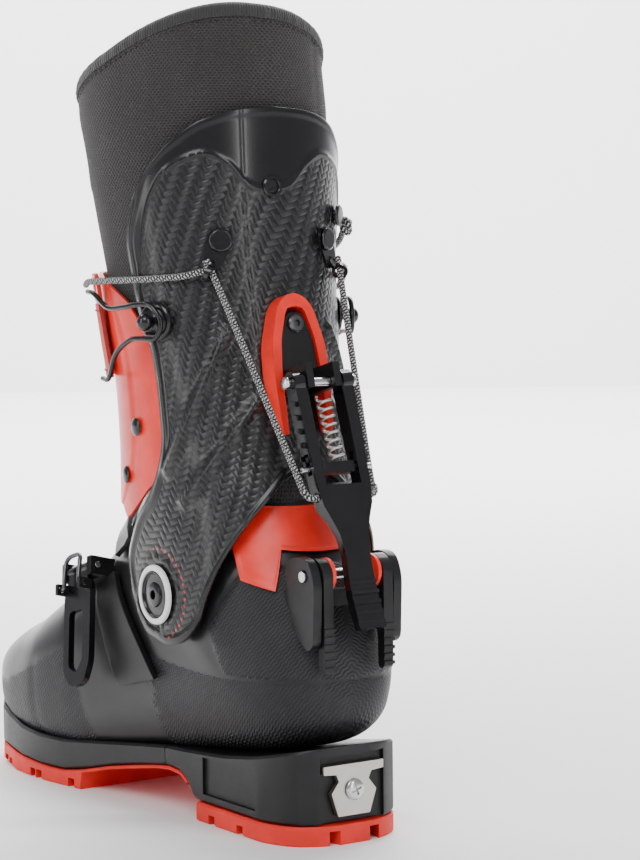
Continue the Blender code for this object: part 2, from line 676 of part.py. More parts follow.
def stud_matrix(angle, z, off):
    return frame_matrix(sleeve_point(angle, z, off), sleeve_normal(angle, z), (0, 0, 1))


def make_tongue_rivets():
    for i, (angle, z) in enumerate(((94.0, 181.0), (108.0, 158.0))):
        turned("tongue_rivet_%d" % (i + 1), [(0, 1.6), (2.8, 1.5), (4.2, 0.9), (4.2, 0.35), (0, 0.35)],
               stud_matrix(angle, z, -0.9), M_BLACK, 16)


# ---------------------------------------------------------------- spine housing and walk lever

def spine_matrix(z, off):
    return frame_matrix(sleeve_point(0.0, z, off), sleeve_normal(0.0, z), (0, 0, 1))


def make_spine():
    centre_z = 221.0
    matrix = spine_matrix(centre_z, 4.0)
    arch = [(-13.5, -43.0), (13.5, -43.0), (14.8, -16.0), (14.0, -2.0), (9.6, 14.0), (5.6, 19.0), (0.0, 21.0),
            (-5.6, 19.0), (-9.6, 14.0), (-14.0, -2.0), (-14.8, -16.0)]
    outline = round_outline(arch, 4.0, 3)
    window = round_outline([(-10.5, -60.0), (10.5, -60.0), (10.5, -16.0), (9.0, 0.0), (4.5, 14.5),
                            (-4.5, 14.5), (-9.0, 0.0), (-10.5, -16.0)], 3.0, 2)
    housing = plate("spine_housing", outline, 10.0, matrix, M_RED)
    boolean(housing, as_cutter(plate("housing_window", window, 30.0, matrix, None, group=CUTTERS)))
    boolean(housing, CUFF_CUTTER)
    plate_matrix = spine_matrix(centre_z, 4.2)
    tab = [(-9.8, -20.0), (9.8, -20.0), (8.3, 0.0), (4.0, 12.0), (-4.0, 12.0), (-8.3, 0.0)]
    spine_plate = plate("spine_plate", round_outline(tab, 2.5, 2), 7.0, plate_matrix, M_BLACK)
    boolean(spine_plate, CUFF_CUTTER)
    for side in (-1, 1):
        ear = box("spine_ear", (3.6, 22.0, 11.0), (side * 7.2, BARREL[0] - 6.5, BARREL[1] + 1.0), None,
                  (14, 0, 0), CUTTERS)
        boolean(spine_plate, as_cutter(ear), 'UNION')
    boolean(spine_plate, CUFF_CUTTER)
    boolean(spine_plate, as_cutter(cylinder("barrel_hole", 2.35, 60.0, (0, *BARREL), 'X', None, CUTTERS, sides=16)))
    screw_matrix = spine_matrix(228.5, 8.1)
    turned("spine_screw", [(0, 0.6), (1.6, 0.6), (1.9, 1.8), (3.6, 1.6), (4.0, 0.8), (4.0, 0.0), (0, 0.0)],
           screw_matrix, M_DARK_STEEL, 14)
    cylinder("lever_hinge_pin", 2.0, 38.0, (0, *BARREL), 'X', M_STEEL, sides=16)


def lever_centre(z):
    """Middle of the closed walk lever's thickness at height z, as y."""
    on_arc = PIVOT[0] + math.sqrt(max(0.0, LEVER_ARC ** 2 - (z - PIVOT[1]) ** 2))
    on_line = BARREL[0] + (BARREL[1] - z) * 0.35
    return max(on_arc, on_line)


def lever_section(z, half, thick, flare=0.0):
    y = lever_centre(z) + flare
    slope = (lever_centre(z - 1.0) - lever_centre(z + 1.0)) / 2.0
    out = Vector((0.0, 1.0, slope)).normalized()
    mid = Vector((0.0, y, z))
    return [mid + Vector((-half, 0, 0)) - out * thick / 2, mid + Vector((half, 0, 0)) - out * thick / 2,
            mid + Vector((half, 0, 0)) + out * thick / 2, mid + Vector((-half, 0, 0)) + out * thick / 2]


def make_walk_lever():
    rows = ((202.5, 15.6, 7.0), (196.0, 15.4, 8.0), (180.0, 15.0, 8.0), (168.0, 14.5, 7.4), (158.0, 14.0, 7.2),
            (149.0, 13.0, 6.6), (143.0, 10.0, 4.6), (137.0, 7.6, 4.2), (128.0, 6.4, 4.2), (121.0, 6.6, 4.4),
            (112.0, 6.9, 4.4), (104.0, 7.0, 4.4), (97.0, 6.8, 4.0))
    rings = [lever_section(z, half, thick, 1.6 * max(0.0, (112.0 - z) / 15.0)) for z, half, thick in rows]
    lever = loft("walk_lever", rings, M_GLOSS_BLACK)
    for side in (-1, 1):
        eye = cylinder("lever_eye", 5.0, 5.4, (side * 12.9, *BARREL), 'X', None, CUTTERS, sides=20)
        boolean(lever, as_cutter(eye), 'UNION')
    window = box("lever_window", (18.6, 60.0, 54.0), (0, 125.0, 186.0), None, (0, 0, 0), CUTTERS)
    boolean(lever, as_cutter(window))
    boolean(lever, as_cutter(cylinder("lever_bore", 2.35, 60.0, (0, *BARREL), 'X', None, CUTTERS, sides=16)))
    for i in range(5):
        z = 117.0 - 4.2 * i
        rib = box("tab_rib", (14.4, 2.0, 1.6), (0, lever_centre(z) + 2.3 + 0.1 * i, z), None, (8, 0, 0), CUTTERS)
        boolean(lever, as_cutter(rib), 'UNION')
    for side in (-1, 1):
        for i in range(5):
            z = 194.0 - 6.0 * i
            rib = box("rail_rib", (3.0, 5.0, 2.2), (side * 14.9, lever_centre(z), z), None, (0, 0, 0), CUTTERS)
            boolean(lever, as_cutter(rib), 'UNION')
    slot = box("slide_slot", (60.0, 3.4, 9.6), (0, lever_centre(167.5), 167.5), None, (19, 0, 0), CUTTERS)
    boolean(lever, as_cutter(slot))
    for side in (-1, 1):
        boolean(lever, as_cutter(cylinder("cord_hole", 2.2, 8.0, (side * 14.0, *CORD_HOLE), 'X', None, CUTTERS,
                                          sides=12)))
    y = lever_centre(165.5)
    cylinder("lever_cross_pin", 1.4, 37.0, (0, y, 165.5), 'X', M_STEEL, sides=12)
    slider = box("lock_slider", (16.8, 5.4, 5.0), (0, y - 0.2, 165.5), M_BLACK, (19, 0, 0))
    boolean(slider, as_cutter(cylinder("slider_bore", 1.75, 40.0, (0, y, 165.5), 'X', None, CUTTERS, sides=12)))
    top = Vector((0.0, lever_centre(196.0) + 0.5, 196.5))
    foot = Vector((0.0, y + 1.0, 169.5))
    along = (foot - top)
    sideways = Vector((1, 0, 0))
    across = along.normalized().cross(sideways)
    turns, steps_per_turn, radius = 7, 7, 3.2
    coil = []
    for i in range(turns * steps_per_turn + 1):
        t = i / (turns * steps_per_turn)
        a = 2 * math.pi * i / steps_per_turn
        coil.append(top + along * t + (sideways * math.cos(a) + across * math.sin(a)) * radius)
    tube("lock_spring", coil, 0.6, M_STEEL, 0)


# ---------------------------------------------------------------- heel lock and lean tabs

def make_heel_lock():
    bracket = box("heel_bracket", (46.0, 20.0, 7.5), (0, 131.0, 108.6), M_BLACK)
    for side in (-1, 1):
        ear = plate("bracket_ear", round_outline([(130.0, 96.0), (141.5, 87.0), (146.2, 90.0), (147.4, 118.0),
                                                  (143.0, 127.5), (133.0, 128.5), (124.0, 124.0)], 5.0, 3), 4.4,
                    frame_matrix((side * 21.4, 0, 0), (1, 0, 0), (0, 0, 1)), None, group=CUTTERS)
        boolean(bracket, as_cutter(ear), 'UNION')
    boolean(bracket, SHELL_CUTTER)
    boolean(bracket, PANEL_CUTTER)
    boolean(bracket, as_cutter(cylinder("pin_hole", 2.85, 60.0, (0, *LOCK_PIN), 'X', None, CUTTERS, sides=16)))
    boolean(bracket, as_cutter(box("lean_room", (38.2, 12.0, 60.0), (0, 140.9, 106.0), None, (0, 0, 0), CUTTERS)))
    cylinder("lock_pin", 2.5, 49.5, (0, *LOCK_PIN), 'X', M_STEEL, sides=16)
    for side, word in ((1, "lateral"), (-1, "medial")):
        matrix = frame_matrix((side * 15.9, 0, 0), (1, 0, 0), (0, 0, 1))
        tab = plate("lean_tab_" + word, round_outline([(135.6, 112.0), (142.6, 92.0), (143.0, 77.0),
                                                       (147.4, 77.0), (147.6, 104.0), (147.4, 123.0),
                                                       (141.0, 128.2), (133.6, 126.0)], 4.0, 3), 5.0,
                    matrix, M_BLACK)
        boolean(tab, as_cutter(cylinder("tab_hole", 2.85, 60.0, (0, *LOCK_PIN), 'X', None, CUTTERS, sides=16)))
        for i in range(6):
            rib = box("leg_rib", (5.8, 1.6, 1.5), (side * 15.9, 147.5, 79.5 + 3.4 * i), None, (0, 0, 0), CUTTERS)
            boolean(tab, as_cutter(rib), 'UNION')
        cam = cylinder("lean_cam_" + word, 7.6, 1.9, (side * 12.1, *LOCK_PIN), 'X', M_RED, sides=20)
        boolean(cam, as_cutter(cylinder("cam_hole", 2.85, 60.0, (0, *LOCK_PIN), 'X', None, CUTTERS, sides=16)))


# ---------------------------------------------------------------- instep buckle

def make_instep():
    def strap_point(u, v, off):
        k = 9.6 + 2.4 * v
        angle = -78.0 + 132.0 * u
        return shell_point(k, angle, 3.2 + off)

    sheet("instep_strap", strap_point, 16, 2, 2.4, M_BLACK)

    def ladder_point(u, v, off):
        k = 8.2 + 1.25 * v
        angle = 62.0 + 38.0 * u
        return shell_point(k, angle, 3.6 + off)

    sheet("instep_ladder", ladder_point, 6, 2, 3.0, M_BLACK)

    top = shell_point(8.0, 54.0, 7.5)
    low = shell_point(7.6, 97.0, 8.5)
    out = shell_normal(7.7, 74.0)
    matrix = frame_matrix(top, out, top - low)
    length = (low - top).length
    pin_turn = matrix @ Matrix.Translation((0, 0, 3.2 * MM)) @ Matrix.Rotation(math.radians(90), 4, 'Y')

    def part_of(name, radius, long, colour_material, group=None):
        made = cylinder(name, radius, long, (0, 0, 0), 'Z', colour_material, group, sides=16)
        made.matrix_local = pin_turn
        return made

    body = [(-8.3, 1.0), (-8.3, -6.5), (-11.0, -11.0), (-11.0, -length + 8.0), (-5.0, -length), (6.0, -length),
            (11.0, -length + 10.0), (11.0, -11.0), (8.3, -6.5), (8.3, 1.0)]
    slot = [(-6.5, -20.0), (-6.5, -length + 10.0), (0.0, -length + 6.0), (5.0, -length + 12.0), (5.0, -20.0)]
    lever = plate("instep_lever", round_outline(body, 4.0, 3), 3.2, matrix @ Matrix.Translation((0, 0, 4.2 * MM)),
                  M_GLOSS_BLACK)
    boolean(lever, as_cutter(plate("lever_slot", round_outline(slot, 2.0, 2), 30.0, matrix, None, group=CUTTERS)))
    boolean(lever, as_cutter(part_of("instep_eye", 3.2, 17.0, None, CUTTERS)), 'UNION')
    bore = as_cutter(part_of("instep_bore", 1.85, 60.0, None, CUTTERS))
    boolean(lever, bore)
    base = box("instep_base", (25.0, 9.0, 17.0), (0, 0, 0), M_BLACK)
    base.matrix_local = matrix @ Matrix.Translation((0, 0, -1.9 * MM))
    notch = box("base_notch", (17.4, 16.0, 14.0), (0, 0, 0), None, group=CUTTERS)
    notch.matrix_local = matrix @ Matrix.Translation((0, 0, 6.2 * MM))
    boolean(base, as_cutter(notch))
    boolean(base, SHELL_CUTTER)
    boolean(base, bore)
    part_of("instep_pin", 1.5, 27.0, M_STEEL)

    def at(x, y, z):
        return matrix @ (Vector((x, y, z)) * MM) / MM

    bail_bore = cylinder("bail_bore", 1.45, 40.0, (0, 0, 0), 'Z', None, CUTTERS, sides=12)
    bail_bore.matrix_local = matrix @ Matrix.Translation((0, -9.0 * MM, 9.2 * MM)) @ Matrix.Rotation(
        math.radians(90), 4, 'Y')
    for side in (-1, 1):
        lug = box("bail_lug", (2.2, 5.2, 7.4), (0, 0, 0), None, group=CUTTERS)
        lug.matrix_local = matrix @ Matrix.Translation((side * 9.3 * MM, -9.0 * MM, 7.9 * MM))
        boolean(lever, as_cutter(lug), 'UNION')
    boolean(lever, as_cutter(bail_bore))
    half = [(9.9, -9.0, 9.2), (7.2, -9.0, 9.2), (6.3, -8.0, 9.2), (6.2, -4.0, 9.4), (6.2, 2.0, 8.9),
            (5.4, 5.0, 8.3), (3.0, 6.4, 8.0)]
    wire = [at(-x, y, z) for x, y, z in half] + [at(*p) for p in reversed(half)]
    tube("instep_bail", wire, 1.1, M_STEEL)


# ---------------------------------------------------------------- strap, guides and cords

def mirror(p, side):
    return Vector((p[0] * side, p[1], p[2]))


def make_strap():
    def band_point(u, v, off):
        return sleeve_point(108.0 + 144.0 * u, 203.0 + 34.0 * v, 3.0 + off)

    sheet("power_strap", band_point, 18, 1, 2.4, M_RED_WEB)
    matrix = stud_matrix(112.5, 243.5, 1.4)
    tab = [(-6.0, -6.0), (6.0, -6.0), (6.0, 4.0), (3.5, 8.0), (-3.5, 8.0), (-6.0, 4.0)]
    plate("strap_end_tab", round_outline(tab, 2.5, 3), 2.0, matrix, M_RED, holes=[circle_outline(0, 1.5, 2.3, 12)])
    for side, word in ((1, "lateral"), (-1, "medial")):
        turned("strap_stud_" + word,
               [(0, 11.6), (2.4, 11.0), (3.9, 9.2), (3.9, 7.6), (2.2, 5.6), (2.2, 3.0), (5.4, 2.6), (8.4, 1.6),
                (8.8, 0.5), (0, 0.5)], stud_matrix(STUD_ANGLE * side, STUD_Z, 0.0), M_BLACK, 14)
        wire = [(104.5, 243.0, 7.8), (98.0, 242.0, 7.6), (90.0, 236.0, 7.2), (80.0, 236.5, 6.9),
                (72.5, 237.6, 6.9), (64.5, 237.2, 6.9), (60.6, 230.0, 6.9), (64.5, 222.8, 6.9),
                (72.5, 222.4, 6.9), (80.0, 221.5, 6.9), (90.0, 215.0, 7.2), (98.0, 203.5, 7.6),
                (104.5, 203.0, 7.8)]
        route = [sleeve_point(side * a, z, off) for a, z, off in wire]
        tube("strap_bail_" + word, smooth_route(route, 4.0), 1.15, M_BLACK, 1)


def eyelet(side):
    """Centre of a guide's eyelet and the way the cord runs through it."""
    eye = sleeve_point(EYE_ANGLE * side, EYE_Z, EYE_OUT)
    run_in = (sleeve_point(46.0 * side, 250.4, 4.0) - eye).normalized()
    run_out = (mirror((19.6, 128.5, 164.0), side) - eye).normalized()
    return eye, (run_out - run_in).normalized()


def make_guides():
    for side, word in ((1, "lateral"), (-1, "medial")):
        base = stud_matrix(GUIDE_ANGLE * side, GUIDE_Z, 0.0)
        turned("guide_rivet_" + word, [(0, 4.2), (4.6, 4.2), (5.4, 3.6), (5.4, 3.0), (3.4, 2.8), (3.4, 0.5), (0, 0.5)],
               base, M_BLACK, 14)
        rivet = sleeve_point(GUIDE_ANGLE * side, GUIDE_Z)
        eye, through = eyelet(side)
        matrix = frame_matrix(rivet, sleeve_normal(GUIDE_ANGLE * side, GUIDE_Z), eye - rivet)
        span = (eye - rivet).length
        shape = [(-6.0, 0.0), (-4.4, -4.4), (0.0, -6.2), (4.4, -4.4), (6.0, 0.0), (3.8, span - 3.0),
                 (-3.8, span - 3.0)]
        guide = plate("cord_guide_" + word, round_outline(shape, 2.5, 2), 1.4,
                      matrix @ Matrix.Translation((0, 0, 1.8 * MM)), M_BLACK,
                      holes=[circle_outline(0, 0, 3.75, 14)])
        ring = turned("guide_eye", [(2.3, 1.2), (3.8, 1.2), (3.8, -1.2), (2.3, -1.2), (2.3, 1.2)],
                      frame_matrix(eye, through, (0, 0, 1)), None, 14, CUTTERS)
        boolean(guide, as_cutter(ring), 'UNION')
        start = matrix @ Vector((0.0, (span - 6.0) * MM, 1.8 * MM)) / MM
        reach = start - eye
        reach -= through * reach.dot(through)
        end = eye + reach.normalized() * 3.1
        neck = cylinder("guide_neck", 1.5, (end - start).length + 1.0, (0, 0, 0), 'Z', None, CUTTERS, sides=10)
        neck.matrix_local = frame_matrix((start + end) / 2, end - start, sleeve_normal(GUIDE_ANGLE * side, GUIDE_Z))
        boolean(guide, as_cutter(neck), 'UNION')
    turned("cord_button", [(0, 4.2), (4.4, 4.0), (5.2, 3.2), (5.2, 2.4), (3.0, 2.0), (3.0, 1.2), (5.0, 0.9),
                           (5.0, 0.5), (0, 0.5)], stud_matrix(-40.0, 277.0, 0.0), M_BLACK, 14)


def make_cords():
    radius = CORD_DIAMETER / 2
    runs = {"lateral": ((111.0, 246.0, 6.4), (104.0, 247.5, 6.6), (92.0, 248.0, 5.6), (80.0, 248.5, 4.2),
                        (68.0, 249.0, 3.4), (56.0, 249.6, 3.2), (46.0, 250.4, 4.0)),
            "medial": ((87.0, 243.0, 10.0), (80.0, 244.0, 8.0), (72.0, 245.5, 4.6), (60.0, 248.0, 3.2),
                       (50.0, 250.0, 3.4), (43.0, 250.8, 4.4))}
    for side, word in ((1, "lateral"), (-1, "medial")):
        eye, through = eyelet(side)
        route = [sleeve_point(side * a, z, off) for a, z, off in runs[word]]
        route += [eye - through * 2.0, eye + through * 2.0]
        route += [mirror(p, side) for p in ((19.6, 128.5, 164.0), (18.8, 133.4, 156.4), (16.8, *CORD_HOLE),
                                            (11.2, *CORD_HOLE))]
        tube("cord_" + word, route, radius, M_CORD)
    upper = [sleeve_point(-a, z, off) for a, z, off in ((112.0, 252.0, 2.4), (96.0, 256.0, 2.6), (86.0, 259.0, 2.6),
                                                        (76.0, 262.0, 2.6), (66.0, 265.5, 2.6), (58.0, 269.0, 2.8))]
    tube("cord_upper", upper, radius, M_CORD)
    knot = cylinder("cord_knot", 3.8, 7.4, (0, 0, 0), 'Z', M_CORD, sides=12)
    knot.matrix_local = stud_matrix(-50.6, 272.0, 4.6)
    soften(knot, 1.6)


def main():
    make_lower_shell()
    make_soles()
    make_heel_fitting()
    make_toe_insert()
    make_floor_pieces()
    make_liner()
    make_achilles_panel()
    make_pivots()
    make_cuff()
    make_tongue()
    make_tongue_rivets()
    make_spine()
    make_walk_lever()
    make_heel_lock()
    make_instep()
    make_strap()
    make_guides()
    make_cords()


clear_scene()
BOOT = new_collection("touring_boot")
CUTTERS = new_collection("cutters")
ROOT = bpy.data.objects.new("boot_frame", None)
BOOT.objects.link(ROOT)
ROOT.location = Vector(FRAME_SHIFT) * MM
M_BLACK = material("black_plastic", BLACK, 0.45)
M_GLOSS_BLACK = material("gloss_black", BLACK, 0.22)
M_CARBON = material("carbon", CARBON, 0.25)
M_RED = material("red_plastic", RED, 0.35)
M_RED_RUBBER = material("red_rubber", RED, 0.6)
M_RED_WEB = material("red_webbing", RED, 0.85)
M_LINER = material("liner_mesh", CHARCOAL, 0.9)
M_STEEL = material("steel", STEEL, 0.3, 1.0)
M_DARK_STEEL = material("dark_steel", GREY, 0.35, 1.0)
M_WHITE = material("white_plastic", WHITE, 0.4)
M_GREY_FOAM = material("grey_foam", GREY, 0.8)
M_FOOTBED = material("footbed", GREY, 0.9)
M_CORD = material("cord", GREY, 0.8)
SHELL_CUTTER = shell_solid("shell_space", GAP)
PANEL_CUTTER = shell_solid("panel_space", PANEL_TOP + GAP, 15.6)
CUFF_CUTTER = as_cutter(loft("cuff_space", [[sleeve_point(9.0 * i, z, GAP) for i in range(40)]
                                            for z in even(82.0, 330.0, 26)], None, CUTTERS))
main()
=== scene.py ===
"""Looks of an alpine touring ski boot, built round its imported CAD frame.

Lengths are in millimetres in the boot's own frame (x to the outer side, y from toe to heel, z up) and
become metres of the shared frame in `at_frame`.
"""
import json
import math

import bmesh
import bpy
import numpy as np
from mathutils import Matrix, Vector


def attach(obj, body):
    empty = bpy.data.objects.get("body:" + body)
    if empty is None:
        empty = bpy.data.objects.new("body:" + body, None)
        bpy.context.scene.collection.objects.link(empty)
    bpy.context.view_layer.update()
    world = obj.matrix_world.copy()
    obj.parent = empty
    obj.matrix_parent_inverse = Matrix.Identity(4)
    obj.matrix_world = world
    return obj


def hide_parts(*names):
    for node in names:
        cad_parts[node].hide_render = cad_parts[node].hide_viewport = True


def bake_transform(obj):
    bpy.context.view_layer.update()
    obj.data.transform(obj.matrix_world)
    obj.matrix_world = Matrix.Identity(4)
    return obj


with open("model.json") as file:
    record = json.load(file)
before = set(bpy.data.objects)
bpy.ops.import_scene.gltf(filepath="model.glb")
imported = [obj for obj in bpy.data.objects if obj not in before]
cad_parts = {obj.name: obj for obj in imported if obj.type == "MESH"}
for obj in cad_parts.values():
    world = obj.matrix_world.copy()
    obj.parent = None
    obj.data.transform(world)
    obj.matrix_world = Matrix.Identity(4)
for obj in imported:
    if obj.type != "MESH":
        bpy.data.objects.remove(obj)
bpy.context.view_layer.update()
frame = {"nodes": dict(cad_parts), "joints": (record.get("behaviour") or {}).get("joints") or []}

MM = 0.001

# Axes and holes as (y, z), and the radius on which the closed walk lever lies round the pivot
PIVOT = (60.5, 106.0)
BARREL = (118.0, 203.0)
CORD_HOLE = (135.5, 153.5)
LEVER_ARC = 88.0

# Walls, edges, strap and cords; the strap's start and span and the dots' step are in degrees
SHELL_WALL = 4.0
SHELL_HEEL_Y = 141.0
TOE_BAND_STATION = 7.9
LINER_WALL = 5.0
LINER_FOOT_TOP = 172.0
CUFF_WALL = 3.1
DOT_RING = 21.0
DOT_STEP = 9.0
STRAP_START, STRAP_SPAN = 108.0, 144.0
STRAP_LOW, STRAP_WIDTH = 203.0, 34.0
CORD_RADIUS = 1.5
CORD_ENTRY = (19.6, 128.5, 164.0)
TOW_WIDTH, TOW_TURN = 2.5, math.radians(-22.0)
MM_PER_DEGREE = 0.92

# Value of every mask on a skin's inner face
INNER_FACE = -50.0

VIEW_AZIMUTH, VIEW_ELEVATION, VIEW_ROLL = math.radians(145.89), math.radians(4.37), math.radians(-0.63)
CAMERA_PLACE = (643.6, 1068.9, 269.3)

PIVOT_JOINT = next(joint for joint in frame["joints"] if joint["name"] == "cuff_pivot")
ORIGIN = Vector(PIVOT_JOINT["pos_m"]) / MM - Vector((0.0, *PIVOT))
LOWER, CUFF, LEVER, LATCH = "lower_boot", "cuff_assembly", "walk_lever_assembly", "latch_slide"

# Lower shell sections: upper y, upper z, lower y, lower z, half width, centre x, roundness above and below
SHELL_RINGS = np.array([
    (-141, 46, -141, 33, 13, -1, 2.2, 2.4),
    (-136.5, 56, -138, 28.5, 25, -1, 2.2, 2.7),
    (-126, 65, -127, 25, 35, -0.5, 2.2, 3),
    (-108, 73, -112, 18, 42.5, 0.5, 2.2, 3.4),
    (-85, 82, -90, 12.5, 47.5, 1, 2.2, 3.4),
    (-62, 94, -62, 11.5, 49.5, 2, 2.2, 3.4),
    (-45, 105, -34, 13, 48.5, 2, 2.2, 3.3),
    (-33, 114, -5, 18, 46, 1.5, 2.2, 3.2),
    (-25, 122, 28, 24, 43.5, 1, 2.3, 3.2),
    (-19, 129, 62, 30, 42, 0.5, 2.4, 3.2),
    (-14, 135, 95, 35, 42.5, 0, 2.5, 3.2),
    (-11, 139, 122, 41, 43, 0, 2.5, 3),
    (-8, 142, 137, 52, 44, 0, 2.5, 2.8),
    (-6, 144, 141.5, 67, 44, 0, 2.5, 2.65),
    (-4, 146, 141, 82, 43, 0, 2.5, 2.4),
    (-3, 147.5, 137, 97, 41.5, 0, 2.4, 2.2),
    (-2, 149, 129, 114, 41, 0, 2.4, 2.15),
    (-1, 151, 117, 133, 39, 0, 2.4, 2),
    (0, 153, 106, 150, 37, 0, 2.3, 2)])
SHELL_LAST = len(SHELL_RINGS) - 1
SHELL_INDEX = np.arange(len(SHELL_RINGS))

# Leg sleeve and liner leg: z, centre y, half width, half depth, roundness
SLEEVE = np.array([
    (78, 55, 51, 61, 2.8), (105, 55, 51, 62, 2.75), (130, 54, 50.5, 64, 2.6),
    (150, 51, 49.5, 63.5, 2.4), (170, 47, 49, 60.5, 2.3), (200, 41.5, 49.5, 56.5, 2.25),
    (222, 38, 51.5, 55, 2.25), (253, 33, 54.5, 54.5, 2.25), (277, 30, 57, 56, 2.25),
    (302, 27.5, 59, 58, 2.25), (326, 25, 60, 60, 2.25), (345, 23, 60, 61, 2.25)])
LINER = np.array([
    (164, 48, 43.3, 54.5, 2.25), (200, 41.3, 44.4, 51.8, 2.25), (222, 37.8, 46.4, 50.2, 2.25),
    (253, 32.8, 49.5, 49.8, 2.25), (277, 29.5, 52, 51.6, 2.25), (302, 26.4, 54.2, 54.2, 2.25),
    (330, 22.5, 55.2, 57.5, 2.25), (350, 21.6, 53.5, 57.5, 2.25), (376, 21.6, 50.5, 55.5, 2.25)])

SIDES = ((1, "lateral"), (-1, "medial"))
BLACK = (0.013, 0.013, 0.014)
RED = (0.72, 0.022, 0.012)


# ---- surfaces

def curve_value(x, xs, ys):
    """A smooth curve through (xs, ys), level beyond its ends."""
    if x <= xs[0]:
        return float(ys[0])
    if x >= xs[-1]:
        return float(ys[-1])
    i = int(np.searchsorted(xs, x, side='right')) - 1

    def rate(j):
        return (ys[j + 1] - ys[j]) / (xs[j + 1] - xs[j])

    def slope(j):
        if j in (0, len(xs) - 1):
            return rate(max(0, j - 1))
        before, after = rate(j - 1), rate(j)
        if before * after <= 0:
            return 0.0
        return 2 * before * after / (before + after)

    width = xs[i + 1] - xs[i]
    t = (x - xs[i]) / width
    a, b = slope(i) * width, slope(i + 1) * width
    rise = ys[i + 1] - ys[i]
    return float(ys[i] + t * a + t * t * (3 * rise - 2 * a - b) + t ** 3 * (a + b - 2 * rise))


def remembered(table, keys):
    """curve_value for every column of a table, kept for the rows that a grid asks for again and again."""
    seen = {}

    def look(x):
        x = round(x, 4)
        if x not in seen:
            seen[x] = [curve_value(x, keys, table[:, column]) for column in range(table.shape[1])]
        return seen[x]
    return look


SHELL_AT = remembered(SHELL_RINGS, SHELL_INDEX)
SLEEVE_AT = remembered(SLEEVE, SLEEVE[:, 0])
LINER_AT = remembered(LINER, LINER[:, 0])


def signed_power(value, roundness):
    return math.copysign(abs(value) ** (2.0 / roundness), value)


def bell(x, width):
    return math.exp(-(x / width) ** 2)


def smooth_step(x, low, high):
    t = min(1.0, max(0.0, (x - low) / (high - low)))
    return t * t * (3 - 2 * t)


def shell_point(k, angle, off=0.0, low_off=None):
    """A point of the lower shell: k runs from toe to ankle rim, angle in degrees from the top."""
    low_off = off if low_off is None else low_off
    row = SHELL_AT(min(max(k, 0.0), SHELL_LAST))
    upper = Vector((0.0, row[0], row[1]))
    lower = Vector((0.0, row[2], row[3]))
    line = (upper - lower).normalized()
    upper += line * off
    lower -= line * low_off
    middle = (upper + lower) / 2
    t = math.radians(angle)
    c, s = math.cos(t), math.sin(t)
    roundness = row[6] if c >= 0 else row[7]
    side = (row[4] + off) * signed_power(s, roundness)
    return middle + (upper - middle) * signed_power(c, roundness) + Vector((row[5] + side, 0.0, 0.0))


def table_point(look, angle, z, off):
    row = look(z)
    t = math.radians(angle)
    return Vector(((row[2] + off) * signed_power(math.sin(t), row[4]),
                   row[1] + (row[3] + off) * signed_power(math.cos(t), row[4]), z))


def sleeve_point(angle, z, off=0.0):
    """A point of the leg sleeve: angle in degrees from the back, positive to the outer side."""
    return table_point(SLEEVE_AT, angle, z, off)


def liner_point(angle, z, off=0.0):
    return table_point(LINER_AT, angle, z, off)


def outward(surface, a, b, step_a, step_b):
    """Unit normal of a surface function of two values, pointing away from the inside."""
    across = surface(a + step_a, b) - surface(a - step_a, b)
    up = surface(a, b + step_b) - surface(a, b - step_b)
    normal = across.cross(up).normalized()
    away = surface(a, b, 4.0) - surface(a, b)
    return normal if normal.dot(away) > 0 else -normal


def sleeve_normal(angle, z):
    return outward(sleeve_point, angle, z, 1.5, 2.0)


def shell_normal(k, angle):
    return outward(shell_point, k, angle, 0.15, 2.0)


def frame_matrix(origin, out, along):
    """A local frame in millimetres: z along `out`, y as near `along` as it can be."""
    z_axis = Vector(out).normalized()
    x_axis = Vector(along).cross(z_axis).normalized()
    y_axis = z_axis.cross(x_axis)
    turn = Matrix((x_axis, y_axis, z_axis)).transposed().to_4x4()
    return Matrix.Translation(Vector(origin)) @ turn


def stud_matrix(angle, z, off=0.0):
    return frame_matrix(sleeve_point(angle, z, off), sleeve_normal(angle, z), (0, 0, 1))


def cuff_front(z):
    """Angle of the cuff's front edge at height z."""
    return curve_value(z, (98, 106, 119, 135, 150, 180, 214, 237, 262, 288, 312),
                       (97, 101, 104, 99, 90, 77, 75, 79, 79, 70, 62))


def cuff_low(u):
    """Height of the cuff's lower edge: u is 0 at the back and 1 at the front."""
    return curve_value(u, (0, 0.13, 0.25, 0.39, 0.556, 0.65, 0.73, 0.80, 0.86, 0.93, 1),
                       (163.5, 160, 151, 136.5, 110, 96.5, 88.5, 84.8, 83.8, 86.5, 96))


def cuff_high(u):
    """Height of the cuff's upper edge."""
    return curve_value(u, (0.0, 0.2, 0.5, 0.75, 0.9, 1.0), (326.0, 325.0, 320.5, 311.0, 300.0, 285.0))


def lever_centre(z):
    """Middle of the closed walk lever's thickness at height z, as y."""
    on_arc = PIVOT[0] + math.sqrt(max(0.0, LEVER_ARC ** 2 - (z - PIVOT[1]) ** 2))
    return max(on_arc, BARREL[0] + (BARREL[1] - z) * 0.35)


def at_frame(p):
    """A point of the boot's own frame in metres of the shared frame."""
    return tuple((Vector(p) + ORIGIN) * MM)


def signed_angle(a):
    return a - 360.0 if a > 180.0 else a


def even(low, high, count):
    return [low + (high - low) * i / count for i in range(count + 1)]


def mirror(p, side):
    return Vector((p[0] * side, p[1], p[2]))


# ---- meshes

def add_object(name, data):
    obj = bpy.data.objects.new(name, data)
    bpy.context.scene.collection.objects.link(obj)
    return obj


